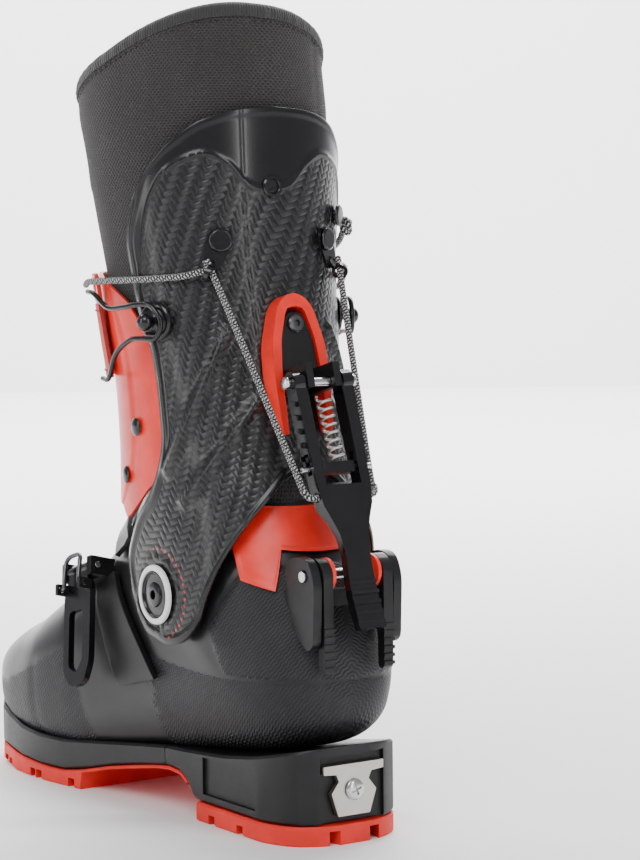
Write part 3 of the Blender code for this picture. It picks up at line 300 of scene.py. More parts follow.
def finish_mesh(name, points, faces, material, body, replaced=(), uvs=None, masks=None, sharp=40):
    """Makes a piece: points in millimetres, one uv pair and any named masks for each point."""
    mesh = bpy.data.meshes.new(name)
    mesh.from_pydata([at_frame(p) for p in points], [], faces)
    if uvs:
        layer = mesh.uv_layers.new(name="surface")
        for loop in mesh.loops:
            layer.data[loop.index].uv = uvs[loop.vertex_index]
    for key, values in (masks or {}).items():
        layer = mesh.attributes.new(key, 'FLOAT', 'POINT')
        layer.data.foreach_set("value", values)
    work = bmesh.new()
    work.from_mesh(mesh)
    bmesh.ops.recalc_face_normals(work, faces=work.faces)
    work.to_mesh(mesh)
    work.free()
    mesh.shade_smooth()
    mesh.set_sharp_from_angle(angle=math.radians(sharp))
    obj = add_object(name, mesh)
    mesh.materials.append(material)
    if replaced:
        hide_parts(*([replaced] if isinstance(replaced, str) else replaced))
    if body:
        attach(obj, body)
    return obj


def bevel(obj, width, segments=2, angle=35):
    step = obj.modifiers.new("bevel", 'BEVEL')
    step.width = width * MM
    step.segments = segments
    step.limit_method = 'ANGLE'
    step.angle_limit = math.radians(angle)
    step.harden_normals = True
    return obj


def ring_faces(a, b, count):
    return [(a + j, a + (j + 1) % count, b + (j + 1) % count, b + j) for j in range(count)]


def stack_faces(rings, count, first=0):
    """Faces of a closed skin over a stack of rings, with a cap at each end."""
    faces = []
    for i in range(first, first + (rings - 1) * count, count):
        faces += ring_faces(i, i + count, count)
    last = first + (rings - 1) * count
    return faces + [tuple(range(first, first + count)), tuple(range(last, last + count))]


def sheet(name, point, columns, rows, thick, material, body, replaced=(), coords=None, masks=None,
          edge=0.6):
    """A skin with two faces: point(u, v, off) places it, coords(u, v) and the masks colour it."""
    points, uvs = [], []
    values = {key: [] for key in (masks or {})}
    for off in (0.0, -thick):
        for i in range(columns + 1):
            for j in range(rows + 1):
                u, v = i / columns, j / rows
                points.append(point(u, v, off))
                uvs.append(coords(u, v) if coords else (u, v))
                for key in values:
                    values[key].append(masks[key](u, v) if off == 0.0 else INNER_FACE)
    half = (columns + 1) * (rows + 1)

    def at(i, j):
        return i * (rows + 1) + j

    faces = []
    for i in range(columns):
        for j in range(rows):
            quad = (at(i, j), at(i + 1, j), at(i + 1, j + 1), at(i, j + 1))
            faces.append(quad)
            faces.append(tuple(half + q for q in reversed(quad)))
    border = ([at(i, 0) for i in range(columns)] + [at(columns, j) for j in range(rows)]
              + [at(i, rows) for i in range(columns, 0, -1)] + [at(0, j) for j in range(rows, 0, -1)])
    for a, b in zip(border, border[1:] + border[:1]):
        faces.append((a, b, half + b, half + a))
    obj = finish_mesh(name, points, faces, material, body, replaced, uvs, values)
    if edge:
        bevel(obj, edge, 2, 50)
    return obj


def turned(name, profile, matrix, material, body, replaced=(), steps=48, edge=0.0):
    """A turned solid: profile is (radius, height) from the axis at the top to the axis at the bottom,
    or a closed loop that starts and ends at one corner."""
    loop = profile[0] == profile[-1]
    corners = profile[:-1] if loop else profile
    points, index = [], []
    for r, h in corners:
        if r < 1e-6:
            index.append([len(points)] * steps)
            points.append(matrix @ Vector((0, 0, h)))
            continue
        index.append(list(range(len(points), len(points) + steps)))
        for i in range(steps):
            a = 2 * math.pi * i / steps
            points.append(matrix @ Vector((r * math.cos(a), r * math.sin(a), h)))
    faces = []
    pairs = list(zip(index, index[1:])) + ([(index[-1], index[0])] if loop else [])
    for upper, lower in pairs:
        for i in range(steps):
            j = (i + 1) % steps
            faces.append(tuple(dict.fromkeys((upper[i], upper[j], lower[j], lower[i]))))
    obj = finish_mesh(name, points, faces, material, body, replaced, sharp=30)
    if edge:
        bevel(obj, edge, 2, 25)
    return obj


def smooth_route(knots, spacing):
    """Points every `spacing` along a Catmull-Rom curve through the knots."""
    knots = [Vector(k) for k in knots]
    ends = [knots[0] * 2 - knots[1], *knots, knots[-1] * 2 - knots[-2]]
    dense = []
    for i in range(1, len(ends) - 2):
        a, b, c, d = ends[i - 1:i + 3]
        for s in range(20):
            t = s / 20
            dense.append(0.5 * (2 * b + (c - a) * t + (2 * a - 5 * b + 4 * c - d) * t * t
                                + (3 * b - a - 3 * c + d) * t ** 3))
    dense.append(knots[-1])
    walked = [0.0]
    for a, b in zip(dense, dense[1:]):
        walked.append(walked[-1] + (b - a).length)
    count = max(3, round(walked[-1] / spacing))
    marks = np.linspace(0.0, walked[-1], count + 1)
    columns = [np.interp(marks, walked, [p[axis] for p in dense]) for axis in range(3)]
    return [Vector(row) for row in zip(*columns)]


def length_of(route):
    return sum((b - a).length for a, b in zip(route, route[1:]))


def tube(name, route, radius, material, body, replaced=(), sides=16):
    """A round cord or wire along a route, with uv in millimetres round and along it."""
    points, uvs = [], []
    normal = (route[1] - route[0]).orthogonal().normalized()
    walked = 0.0
    for i, here in enumerate(route):
        ahead = route[min(i + 1, len(route) - 1)] - route[max(i - 1, 0)]
        ahead.normalize()
        normal = (normal - ahead * normal.dot(ahead)).normalized()
        side = ahead.cross(normal)
        if i:
            walked += (here - route[i - 1]).length
        for j in range(sides):
            a = 2 * math.pi * j / sides
            points.append(here + (normal * math.cos(a) + side * math.sin(a)) * radius)
            uvs.append((j / sides, walked))
    return finish_mesh(name, points, stack_faces(len(route), sides), material, body, replaced, uvs)


def carve(obj, solids):
    """Cuts box-like or prism-like recesses out of a piece: each solid is a list of points and faces."""
    for points, faces in solids:
        mesh = bpy.data.meshes.new("recess")
        mesh.from_pydata([at_frame(p) for p in points], [], faces)
        cutter = add_object("recess", mesh)
        step = obj.modifiers.new("recess", 'BOOLEAN')
        step.operation = 'DIFFERENCE'
        step.solver = 'EXACT'
        step.object = cutter
        bpy.context.view_layer.update()
        carved = bpy.data.meshes.new_from_object(obj.evaluated_get(bpy.context.evaluated_depsgraph_get()))
        obj.modifiers.clear()
        obj.data = carved
        bpy.data.objects.remove(cutter)


def prism(matrix, corners, low, high):
    """Points and faces of a prism with the given (x, y) corners, from low to high."""
    count = len(corners)
    points = [matrix @ Vector((x, y, z)) for z in (low, high) for x, y in corners]
    faces = ring_faces(0, count, count) + [tuple(reversed(range(count))), tuple(range(count, 2 * count))]
    return points, faces


def hexagon(radius):
    corners = [math.radians(60 * i) for i in range(6)]
    return [(radius * math.cos(a), radius * math.sin(a)) for a in corners]


def stitches(name, ends, radius, material, body):
    """A row of short stitches in one piece: ends holds (start, middle, end) of each."""
    points, faces = [], []
    for knots in ends:
        faces += stack_faces(3, 8, len(points))
        along = (knots[2] - knots[0]).normalized()
        side = along.orthogonal().normalized()
        other = along.cross(side)
        for i, knot in enumerate(knots):
            size = radius * (1.0 if i == 1 else 0.55)
            points += [knot + (side * math.cos(a) + other * math.sin(a)) * size
                       for a in [2 * math.pi * j / 8 for j in range(8)]]
    return finish_mesh(name, points, faces, material, body)


# ---- materials

class Shader:
    """A Principled material with short helpers for its procedural nodes."""

    def __init__(self, name, colour, roughness, metallic=0.0, **constants):
        self.material = bpy.data.materials.new(name)
        self.material.use_nodes = True
        self.tree = self.material.node_tree
        self.shader = self.tree.nodes["Principled BSDF"]
        self.shader.inputs["Base Color"].default_value = (*colour, 1.0)
        self.shader.inputs["Roughness"].default_value = roughness
        self.shader.inputs["Metallic"].default_value = metallic
        for key, value in constants.items():
            self.shader.inputs[key.replace("_", " ")].default_value = value

    def node(self, kind, **inputs):
        made = self.tree.nodes.new("ShaderNode" + kind)
        for key, value in inputs.items():
            self.feed(made.inputs[key.replace("_", " ")], value)
        return made

    def feed(self, target, value):
        if isinstance(value, bpy.types.NodeSocket):
            self.tree.links.new(value, target)
        else:
            target.default_value = value

    def math(self, operation, a, b=0.0):
        made = self.tree.nodes.new("ShaderNodeMath")
        made.operation = operation
        self.feed(made.inputs[0], a)
        self.feed(made.inputs[1], b)
        return made.outputs[0]

    def times(self, a, b):
        return self.math('MULTIPLY', a, b)

    def plus(self, a, b):
        return self.math('ADD', a, b)

    def minus(self, a, b):
        return self.math('SUBTRACT', a, b)

    def blend(self, factor, a, b):
        made = self.tree.nodes.new("ShaderNodeMix")
        made.data_type = 'RGBA'
        self.feed(made.inputs[0], factor)
        for socket, value in ((made.inputs[6], a), (made.inputs[7], b)):
            self.feed(socket, value if isinstance(value, bpy.types.NodeSocket) else (*value, 1.0))
        return made.outputs[2]

    def ridges(self, value, pitch):
        """Rounded ridges with sharp grooves, one for each pitch."""
        return self.math('ABSOLUTE', self.math('SINE', self.times(value, math.pi / pitch)))

    def domes(self, value, power):
        """One dome from each whole number to the next, flatter on top for a larger power."""
        middle = self.math('ABSOLUTE', self.minus(self.math('FRACT', value), 0.5))
        return self.minus(1.0, self.math('POWER', self.times(middle, 2.0), power))

    def between(self, value, low, high):
        made = self.tree.nodes.new("ShaderNodeMapRange")
        made.interpolation_type = 'SMOOTHSTEP'
        self.feed(made.inputs["Value"], value)
        made.inputs["From Min"].default_value = low
        made.inputs["From Max"].default_value = high
        return made.outputs["Result"]

    def place(self):
        return self.node("TexCoord").outputs["Object"]

    def uv(self):
        made = self.tree.nodes.new("ShaderNodeUVMap")
        made.uv_map = "surface"
        parts = self.node("SeparateXYZ", Vector=made.outputs[0])
        return parts.outputs[0], parts.outputs[1]

    def mask(self, name):
        made = self.tree.nodes.new("ShaderNodeAttribute")
        made.attribute_name = name
        return made.outputs["Fac"]

    def noise(self, scale, detail=3.0, vector=None):
        made = self.node("TexNoise", Scale=scale, Detail=detail)
        self.tree.links.new(vector or self.place(), made.inputs["Vector"])
        return made.outputs["Fac"]

    def colour(self, value):
        self.feed(self.shader.inputs["Base Color"], value)

    def roughness(self, value):
        self.feed(self.shader.inputs["Roughness"], value)

    def bump(self, height, distance, strength=1.0):
        """height is 0 to 1 and distance is in millimetres."""
        made = self.node("Bump", Strength=strength, Distance=distance * MM, Height=height)
        earlier = self.shader.inputs["Normal"].links
        if earlier:
            self.feed(made.inputs["Normal"], earlier[0].from_socket)
        self.feed(self.shader.inputs["Normal"], made.outputs[0])


def moulded(name, colour, roughness, grain=0.02, metallic=0.0, **constants):
    """Moulded plastic or plain metal: slight unevenness of tone, fine grain and small scuffs."""
    s = Shader(name, colour, roughness, metallic, **constants)
    tone = s.between(s.noise(60.0, 4.0), 0.35, 0.7)
    s.colour(s.blend(tone, colour, [min(1.0, c * 1.22 + 0.002) for c in colour]))
    s.roughness(s.plus(s.times(s.noise(420.0, 2.0), 0.14), roughness - 0.07))
    s.bump(s.noise(2600.0, 2.0), grain)
    return s.material


def brushed(name, colour, roughness):
    """Metal with fine directional scratches."""
    s = Shader(name, colour, roughness, 1.0)
    stretch = s.node("Mapping", Vector=s.place())
    stretch.inputs["Scale"].default_value = (900.0, 900.0, 40.0)
    lines = s.noise(1.0, 3.0, stretch.outputs[0])
    s.roughness(s.plus(s.times(lines, 0.22), roughness - 0.1))
    s.colour(s.blend(s.noise(90.0), colour, [c * 0.82 for c in colour]))
    s.bump(lines, 0.01)
    return s.material


def carbon():
    """Lacquered 2 by 2 twill, with plain black where the `weave` mask is below zero. Its colour holds painted
    light: the two tow directions in a lighter and a darker tone as painted reflection, painted shade where
    the tows dip, and painted glints in fibre streaks.
    """
    s = Shader("carbon_twill", BLACK, 0.3, Coat_Weight=0.2, Coat_Roughness=0.15, Specular_IOR_Level=0.35)
    u, v = s.uv()
    cos, sin = math.cos(TOW_TURN), math.sin(TOW_TURN)
    a = s.math('DIVIDE', s.plus(s.times(u, cos), s.times(v, sin)), TOW_WIDTH)
    b = s.math('DIVIDE', s.minus(s.times(v, cos), s.times(u, sin)), TOW_WIDTH)
    step = s.plus(s.math('FLOOR', a), s.math('FLOOR', b))
    warp = s.math('LESS_THAN', s.math('FLOORED_MODULO', step, 4.0), 1.5)

    def along(value, other):
        local = s.times(s.math('FLOORED_MODULO', s.plus(value, s.math('FLOOR', other)), 4.0), 0.5)
        return s.math('SINE', s.times(s.math('FRACT', local), math.pi))

    warp_high = s.times(s.domes(a, 2.5), along(b, a))
    weft_high = s.times(s.domes(b, 2.5), along(a, b))
    height = s.plus(s.times(warp, warp_high), s.times(s.minus(1.0, warp), weft_high))
    fibre_glint = s.noise(1.0, 2.0, s.node("CombineXYZ", X=s.times(a, 9.0), Y=b, Z=0.0).outputs[0])
    # painted reflection: one tow direction is coloured lighter than the other, as light would catch them
    woven = s.blend(warp, (0.030, 0.030, 0.031), (0.0045, 0.0045, 0.005))
    # painted shade: darker where the tows dip between one another
    woven = s.blend(s.times(s.minus(1.0, height), 0.8), woven, (0.003, 0.003, 0.003))
    # painted glints: lighter streaks along the fibres
    woven = s.blend(s.times(s.between(fibre_glint, 0.45, 0.75), 0.35), woven, (0.045, 0.045, 0.046))
    inside = s.between(s.mask("weave"), -0.25, 0.35)
    base = s.blend(inside, (0.005, 0.005, 0.0055), woven)
    printed = s.times(s.between(s.mask("dots"), 1.0, 0.55), s.math('GREATER_THAN', s.mask("dots"), -1.0))
    s.colour(s.blend(printed, base, (0.55, 0.02, 0.012)))
    s.roughness(s.plus(s.times(s.noise(25.0, 3.0), 0.16), s.plus(0.17, s.times(inside, 0.06))))
    s.bump(s.times(height, inside), 0.28)
    s.bump(s.noise(900.0, 2.0), 0.02)
    return s.material


def shell_plastic():
    """Matt black shell with diagonal wavy ribs behind, mirrored at the heel, and smooth panels, with a
    painted highlight on the rib crests.
    """
    s = Shader("shell_plastic", (0.008, 0.008, 0.0085), 0.42, Specular_IOR_Level=0.35)
    u, v = s.uv()
    back = s.math('ABSOLUTE', u)
    swing = s.times(s.math('SINE', s.times(s.minus(back, v), math.pi / 2.6)), 0.42)
    line = s.plus(s.plus(back, v), swing)
    rib = s.between(s.math('SINE', s.times(line, 2 * math.pi / 2.5)), -0.6, 0.5)
    ribbed = s.between(s.mask("ribs"), 0.0, 1.0)
    bold = s.times(ribbed, s.plus(0.5, s.times(s.mask("bold"), 0.5)))
    s.bump(s.times(rib, bold), 0.9)
    s.bump(s.noise(2200.0, 2.0), 0.025)
    tone = s.between(s.noise(40.0, 4.0), 0.3, 0.75)
    plain = s.blend(tone, (0.0065, 0.0065, 0.007), (0.010, 0.010, 0.011))
    # painted highlight: the rib crests are coloured lighter than the plain black
    crest_highlight = s.times(s.times(rib, bold), 0.55)
    s.colour(s.blend(crest_highlight, plain, (0.042, 0.042, 0.045)))
    s.roughness(s.plus(s.times(s.noise(200.0), 0.12), s.minus(0.42, s.times(s.mask("gloss"), 0.17))))
    return s.material


def mesh_fabric():
    """Padded knit: staggered pores with a soft sheen, the pores painted near black as painted shade."""
    s = Shader("liner_knit", (0.05, 0.047, 0.045), 0.9, Sheen_Weight=0.1, Sheen_Roughness=0.5)
    u, v = s.uv()
    pitch = 1.9
    row = s.math('DIVIDE', v, pitch * 0.62)
    shift = s.times(s.math('FLOORED_MODULO', s.math('FLOOR', row), 2.0), 0.5)
    a = s.minus(s.math('FRACT', s.plus(s.math('DIVIDE', u, pitch), shift)), 0.5)
    b = s.times(s.minus(s.math('FRACT', row), 0.5), 0.85)
    away = s.math('SQRT', s.plus(s.times(a, a), s.times(b, b)))
    pore = s.between(away, 0.16, 0.42)
    patches = s.between(s.noise(35.0, 4.0), 0.3, 0.7)
    tone = s.blend(patches, (0.026, 0.024, 0.022), (0.034, 0.031, 0.029))
    # painted shade: the pores are coloured near black
    s.colour(s.blend(pore, (0.005, 0.005, 0.005), tone))
    s.bump(pore, 0.45)
    s.bump(s.noise(1500.0, 2.0), 0.06)
    return s.material


def ribbed_tape():
    """Knitted edge tape, ribbed across, with painted highlight on the rib tops and painted shade in the
    grooves.
    """
    s = Shader("edge_tape", (0.014, 0.013, 0.013), 0.75, Sheen_Weight=0.2)
    u, v = s.uv()
    rib = s.ridges(u, 1.25)
    s.bump(rib, 0.3)
    s.bump(s.noise(1800.0), 0.05)
    # painted highlight on the rib tops and painted shade in the grooves
    s.colour(s.blend(s.times(rib, 0.6), (0.008, 0.008, 0.008), (0.028, 0.027, 0.027)))
    return s.material


def webbing():
    """Red webbing, ribbed across and woven along, with painted highlight on the raised weave and painted
    shade where it dips.
    """
    s = Shader("red_webbing", RED, 0.72, Sheen_Weight=0.3)
    u, v = s.uv()
    weave = s.times(s.ridges(u, 1.1), s.plus(0.6, s.times(s.ridges(v, 1.5), 0.4)))
    s.bump(weave, 0.35)
    # painted highlight on the raised weave and painted shade where it dips
    s.colour(s.blend(weave, (0.35, 0.012, 0.008), (0.85, 0.045, 0.02)))
    return s.material


def braid():
    """Black cord with a white fleck, braided, with painted shade where the strands dip between one another.
    """
    s = Shader("braided_cord", (0.1, 0.1, 0.1), 0.8, Sheen_Weight=0.15)
    u, v = s.uv()
    a = s.plus(s.times(u, 6.0), s.math('DIVIDE', v, 0.85))
    b = s.minus(s.times(u, 6.0), s.math('DIVIDE', v, 0.85))
    cell = s.plus(s.math('FLOOR', a), s.times(s.math('FLOOR', b), 3.0))
    white = s.math('LESS_THAN', s.math('FLOORED_MODULO', cell, 5.0), 1.1)
    height = s.times(s.domes(a, 2.0), s.domes(b, 2.0))
    strand = s.blend(white, (0.010, 0.010, 0.011), (0.85, 0.85, 0.84))
    # painted shade: darker where the strands dip
    s.colour(s.blend(s.times(s.minus(1.0, height), 0.75), strand, (0.01, 0.01, 0.01)))
    s.bump(height, 0.35)
    return s.material


def make_materials():
    return {
        "black": moulded("black_moulded", (0.005, 0.005, 0.0055), 0.36, Specular_IOR_Level=0.35),
        "sole": moulded("sole_black", (0.006, 0.006, 0.0065), 0.42, 0.03, Specular_IOR_Level=0.35),
        "gloss": moulded("gloss_black_moulded", (0.004, 0.004, 0.0045), 0.2, 0.008),
        "red": moulded("red_moulded", RED, 0.34, 0.012, Specular_IOR_Level=0.35),
        "rubber": moulded("red_rubber", (0.66, 0.022, 0.014), 0.55, 0.05, Specular_IOR_Level=0.3),
        "white": moulded("white_ring", (0.72, 0.72, 0.70), 0.35),
        "foam": moulded("grey_foam", (0.16, 0.16, 0.165), 0.85, 0.15),
        "felt": moulded("footbed_felt", (0.12, 0.12, 0.125), 0.95, 0.2),
        "nickel": brushed("brushed_nickel", (0.56, 0.53, 0.49), 0.34),
        "steel": brushed("bright_steel", (0.66, 0.66, 0.66), 0.22),
        "dark": moulded("dark_zinc", (0.10, 0.10, 0.105), 0.3, 0.01, 0.9),
        "carbon": carbon(), "shell": shell_plastic(), "knit": mesh_fabric(), "tape": ribbed_tape(),
        "web": webbing(), "braid": braid()}


# ---- the lower boot

def make_shell():
    """Ski boot shell with a hollow inside and a raised, ribbed heel quarter on each side."""
    angles = even(0.0, 360.0, 180)[:-1]
    stations = even(0.0, SHELL_LAST, 144)

    def quarter(k, a):
        """How far inside the ribbed areas and the raised heel quarter a point lies, in millimetres."""
        p = shell_point(k, a)
        upper = min(p.z - 74.0, 121.5 - p.z, p.y - 93.0 - 0.45 * abs(p.z - 92.0))
        border = curve_value(p.y, (-130, -100, -60, -20, 0, 40, 78, 141),
                             (40, 45, 58, 76, 80, 74, 71.5, 71.5))
        band = 14.0 * (abs(k - TOE_BAND_STATION) - 1.15) if p.y < 40.0 else 50.0
        lower = min(border - p.z, p.y + 128.0, band)
        return max(upper, lower), upper, p

    points, uvs, ribs, bold, gloss = [], [], [], [], []
    for off in (0.0, -SHELL_WALL):
        for k in (stations if off == 0.0 else reversed(even(0.6, SHELL_LAST, 60))):
            for a in angles:
                inside, upper, p = quarter(k, a)
                lift = 0.0
                if off == 0.0:
                    down, band = abs(signed_angle(a)), -abs(k - TOE_BAND_STATION)
                    lift = 0.5 * smooth_step(upper, -0.8, 0.5) - 0.3
                    lift += 0.5 * smooth_step(down, 60.0, 70.0) * smooth_step(band, -1.3, -1.0)
                    lift -= 0.6 * bell(k - 5.0, 0.12) * smooth_step(down, 75.0, 90.0)
                points.append(shell_point(k, a, off + lift))
                uvs.append((p.x * 0.75 + math.copysign(max(0.0, SHELL_HEEL_Y - p.y), p.x), p.z))
                ribs.append(smooth_step(inside, -0.3, 0.6) if off == 0.0 else 0.0)
                bold.append(smooth_step(upper, -0.3, 0.6))
                gloss.append(1.0 - smooth_step(inside, -0.6, 0.3) if off == 0.0 else 0.0)
    faces = stack_faces(len(points) // len(angles), len(angles))
    finish_mesh("boot_shell", points, faces, M["shell"], LOWER, "lower_shell", uvs,
                {"ribs": ribs, "bold": bold, "gloss": gloss})


def bend_at_ankle(obj, low, high):
    """Bakes the placement of a soft piece at the ankle into its mesh; `low` and `high` are not used."""
    at_frame((0, 60, low))
    at_frame((0, 50, high))
    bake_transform(obj)


def liner_rim(angle):
    front = (1.0 - math.cos(math.radians(angle))) / 2.0
    return 343.0 + 27.0 * math.cos(math.radians(angle - 12.0)) + 8.0 * front ** 4


def make_liner():
    """One padded inner boot: foot, ankle and leg, open at the top."""
    angles = even(0.0, 360.0, 120)[:-1]

    def swell(a, z):
        """Padded bands near the top and a seam on each side."""
        puff = 0.9 * math.sin((z - 205.0) / 34.0 * math.pi) ** 4 if z > 290.0 else 0.0
        seam = -0.9 * bell(abs(signed_angle(a)) - 34.0, 1.3) if z > 255.0 else 0.0
        return puff * 0.4 + seam

    def layer(off):
        rings = []
        for k in even(1.0 if off == 0 else 1.4, 16.6, 40):
            rings.append([(shell_point(k, 180.0 - a, -7.4 + off, -10.6 + off), k * 12.0) for a in angles])
        for t in even(0.0, 1.0, 56):
            heights = [LINER_FOOT_TOP + (liner_rim(a) - 1.5 - LINER_FOOT_TOP) * t for a in angles]
            rings.append([(liner_point(a, z, off + (swell(a, z) if off == 0 else 0.0)), z)
                          for a, z in zip(angles, heights)])
        return rings

    rings = layer(0.0) + layer(-LINER_WALL)[::-1]
    points, uvs = [], []
    for ring in rings:
        for a, (point, high) in zip(angles, ring):
            points.append(point)
            uvs.append((abs(signed_angle(a)) * MM_PER_DEGREE, high))
    faces = stack_faces(len(rings), len(angles))
    boot = finish_mesh("inner_boot", points, faces, M["knit"], None,
                       ("liner_foot", "liner_shaft"), uvs)
    bend_at_ankle(boot, 148, 185)


def make_liner_tape():
    """Ribbed tape over the liner's rim, with a row of stitches below it."""
    section = [(0.9, -3.2), (1.5, -1.0), (1.2, 1.4), (-0.6, 2.9), (-2.5, 3.2), (-4.6, 2.8), (-6.1, 1.4),
               (-6.5, -1.0), (-6.0, -3.2)]
    points, uvs, faces = [], [], []
    angles = even(0.0, 360.0, 240)[:-1]
    for a in angles:
        wave = 0.12 * math.sin(math.radians(a) * 60.0)
        for i, (off, up) in enumerate(section):
            points.append(liner_point(a, liner_rim(a) + up, off + wave))
            uvs.append((a * 0.95, i * 1.6))
    size = len(section)
    for i in range(len(angles)):
        faces += ring_faces(i * size, ((i + 1) % len(angles)) * size, size)
    tape = finish_mesh("liner_tape", points, faces, M["tape"], CUFF, "liner_binding", uvs,
                       sharp=60)
    rows = []
    for i in range(110):
        a = 360.0 * i / 110
        rows.append([liner_point(a + step, liner_rim(a + step) - 5.2, lift)
                     for step, lift in ((0.0, 0.0), (1.0, 0.35), (2.0, 0.0))])
    stitches("liner_stitches", rows, 0.35, M["gloss"], CUFF)


def make_panel():
    """Red plate that wraps the back of the ankle, with a raised border."""
    border = 0.35

    def point(u, v, off):
        side = abs(u - 0.5) * 2
        low = 15.7 + 1.05 * min(1.0, max(0.0, (0.667 - side) / 0.167))
        k = low + (SHELL_LAST - 0.15 - low) * v
        inside = smooth_step(min(u, 1 - u, 0.3 * v, 1 - v), 0.012, 0.03) if off == 0.0 else 1.0
        return shell_point(k, 126.0 + 108.0 * u, 1.95 + border * (1.0 - inside) + off)

    sheet("red_ankle_plate", point, 120, 40, 1.35, M["red"], LOWER, "achilles_panel")


def make_pivots():
    """White ring on the cuff and black bolt with a hexagon socket, on each side."""
    ring = [(10.9, 1.9), (11.2, 2.2), (12.9, 2.2), (13.4, 1.8), (13.6, 1.2), (13.6, 0.5), (10.9, 0.5),
            (10.9, 1.9)]
    bolt = [(0, 0.8), (1.7, 0.8), (1.9, 0.9), (2.1, 2.1), (2.3, 2.3), (5.0, 2.3), (5.4, 2.1), (5.8, 1.2),
            (9.2, 1.0), (9.8, 1.5), (10.0, 2.0), (10.3, 2.0), (10.3, 0.5), (7.6, 0.4), (7.6, -5.4),
            (4.2, -5.5), (4.2, -13.8), (0, -13.8)]
    for side, word in SIDES:
        face = sleeve_point(90.0 * side, PIVOT[1])
        matrix = frame_matrix((face.x, *PIVOT), (side, 0, 0), (0, 0, 1))
        turned("ring_" + word, ring, matrix, M["white"], CUFF, "pivot_ring_" + word, 72)
        screw = turned("bolt_" + word, bolt, matrix, M["gloss"], LOWER,
                       "pivot_bolt_" + word, 72)
        carve(screw, [prism(matrix, hexagon(2.2), -0.8, 4.0)])


def make_screws():
    """Cross-recess screw of the heel fitting and hexagon screw of the spine plate."""
    matrix = frame_matrix((0, 142.85, 24.0), (0, 1, 0), (0, 0, 1))
    profile = [(0, 1.9), (1.6, 1.85), (3.2, 1.65), (4.2, 1.25), (4.7, 0.7), (4.7, 0.0), (2.2, 0.0),
               (2.2, -3.0), (0, -3.0)]
    screw = turned("fitting_screw", profile, matrix, M["steel"], LOWER, "heel_fitting_screw", 56)
    turn = matrix @ Matrix.Rotation(math.radians(20.0), 4, 'Z')
    carve(screw, [prism(turn, [(-2.6, -0.5), (2.6, -0.5), (2.6, 0.5), (-2.6, 0.5)], 0.5, 4.0),
                  prism(turn, [(-0.5, -2.6), (0.5, -2.6), (0.5, 2.6), (-0.5, 2.6)], 0.5, 4.0)])
    matrix = stud_matrix(0.0, 228.5, 8.1)
    profile = [(0, 1.8), (2.2, 1.8), (3.4, 1.6), (4.0, 0.9), (4.0, 0.0), (0, 0.0)]
    screw = turned("spine_plate_screw", profile, matrix, M["dark"], CUFF, "spine_screw", 48)
    carve(screw, [prism(matrix, hexagon(1.7), 0.5, 4.0)])


# ---- the cuff

def weave_edge(a):
    """Height of the woven area's upper edge at an angle from the back."""
    return curve_value(abs(a - 3.0), (0, 8, 18, 28, 45, 58, 66, 75, 82),
                       (286.5, 289, 299, 303.5, 298, 283, 262, 230, 200))


def near_line(a, z, start, end):
    """Distance from a point to a line between two (angle, z) points, on the flattened sleeve."""
    px, pz = (a - start[0]) * MM_PER_DEGREE, z - start[1]
    dx, dz = (end[0] - start[0]) * MM_PER_DEGREE, end[1] - start[1]
    t = min(1.0, max(0.0, (px * dx + pz * dz) / (dx * dx + dz * dz)))
    return math.hypot(px - t * dx, pz - t * dz)


def make_cuff():
    """Carbon cuff with woven panels, folds, raised borders and a printed ring of dots round each pivot."""
    def place(u, v):
        """Angle and height of a point, and its distances from the front and the lower edge."""
        across = abs(2 * u - 1)
        low = cuff_low(across)
        z = low + (cuff_high(across) - low) * v
        a = (2 * u - 1) * cuff_front(z)
        return a, z, (cuff_front(z) - abs(a)) * MM_PER_DEGREE, z - low

    def weave(u, v):
        a, z, from_front, from_low = place(u, v)
        return max(-6.0, min(6.0, weave_edge(a) - z, from_front - 5.5, from_low - 5.5))

    def lift(u, v):
        a, z, from_front, from_low = place(u, v)
        height = 2.2 * bell(near_line(abs(a), z, (28.5, 225.5), (76.5, 162.5)), 2.6)
        height += 2.0 * bell(near_line(abs(a), z, (16.5, 197.0), (69.0, 149.0)), 2.6)
        height += 0.75 * bell(weave(u, v) + 1.6, 1.3) * smooth_step(z, 205.0, 235.0)
        height -= 0.14 * bell(a - 14.0, 0.9) * smooth_step(z, 200.0, 220.0)
        height += 0.5 * bell(cuff_high(abs(2 * u - 1)) - z - 1.8, 1.5)
        from_pivot = math.hypot(z - PIVOT[1], sleeve_point(a, z).y - PIVOT[0])
        height += 0.6 * smooth_step(-abs(from_pivot - 16.6), -1.6, -0.9)
        height += 0.7 * bell(min(from_low, from_front) - 2.6, 1.5)
        return height

    def point(u, v, off):
        a, z = place(u, v)[:2]
        return sleeve_point(a, z, off + (lift(u, v) if off == 0.0 else 0.0) - 0.1)

    def coords(u, v):
        a, z = place(u, v)[:2]
        return a * MM_PER_DEGREE, z

    def dots(u, v):
        """Distance from the nearest printed dot."""
        a, z = place(u, v)[:2]
        up, back = z - PIVOT[1], sleeve_point(a, z).y - PIVOT[0]
        turn = math.degrees(math.atan2(up, back))
        if not -70.0 < turn < 120.0:
            return 5.0
        nearest = math.radians(DOT_STEP * round(turn / DOT_STEP))
        return math.hypot(back - DOT_RING * math.cos(nearest), up - DOT_RING * math.sin(nearest))

    sheet("carbon_cuff", point, 320, 170, CUFF_WALL, M["carbon"], CUFF, "cuff", coords,
          {"weave": weave, "dots": dots})
    matrix = stud_matrix(1.5, 290.0)
    ring = [(3.0, 1.1), (3.4, 1.6), (4.6, 1.5), (5.2, 0.8), (5.2, -0.6), (3.0, -0.6), (3.0, 1.1)]
    turned("cuff_eyelet", ring, matrix, M["gloss"], CUFF)
    hole = [(0, 0.25), (3.1, 0.25), (3.1, -0.4), (0, -0.4)]
    turned("cuff_eyelet_hole", hole, matrix, M["black"], CUFF, steps=32)


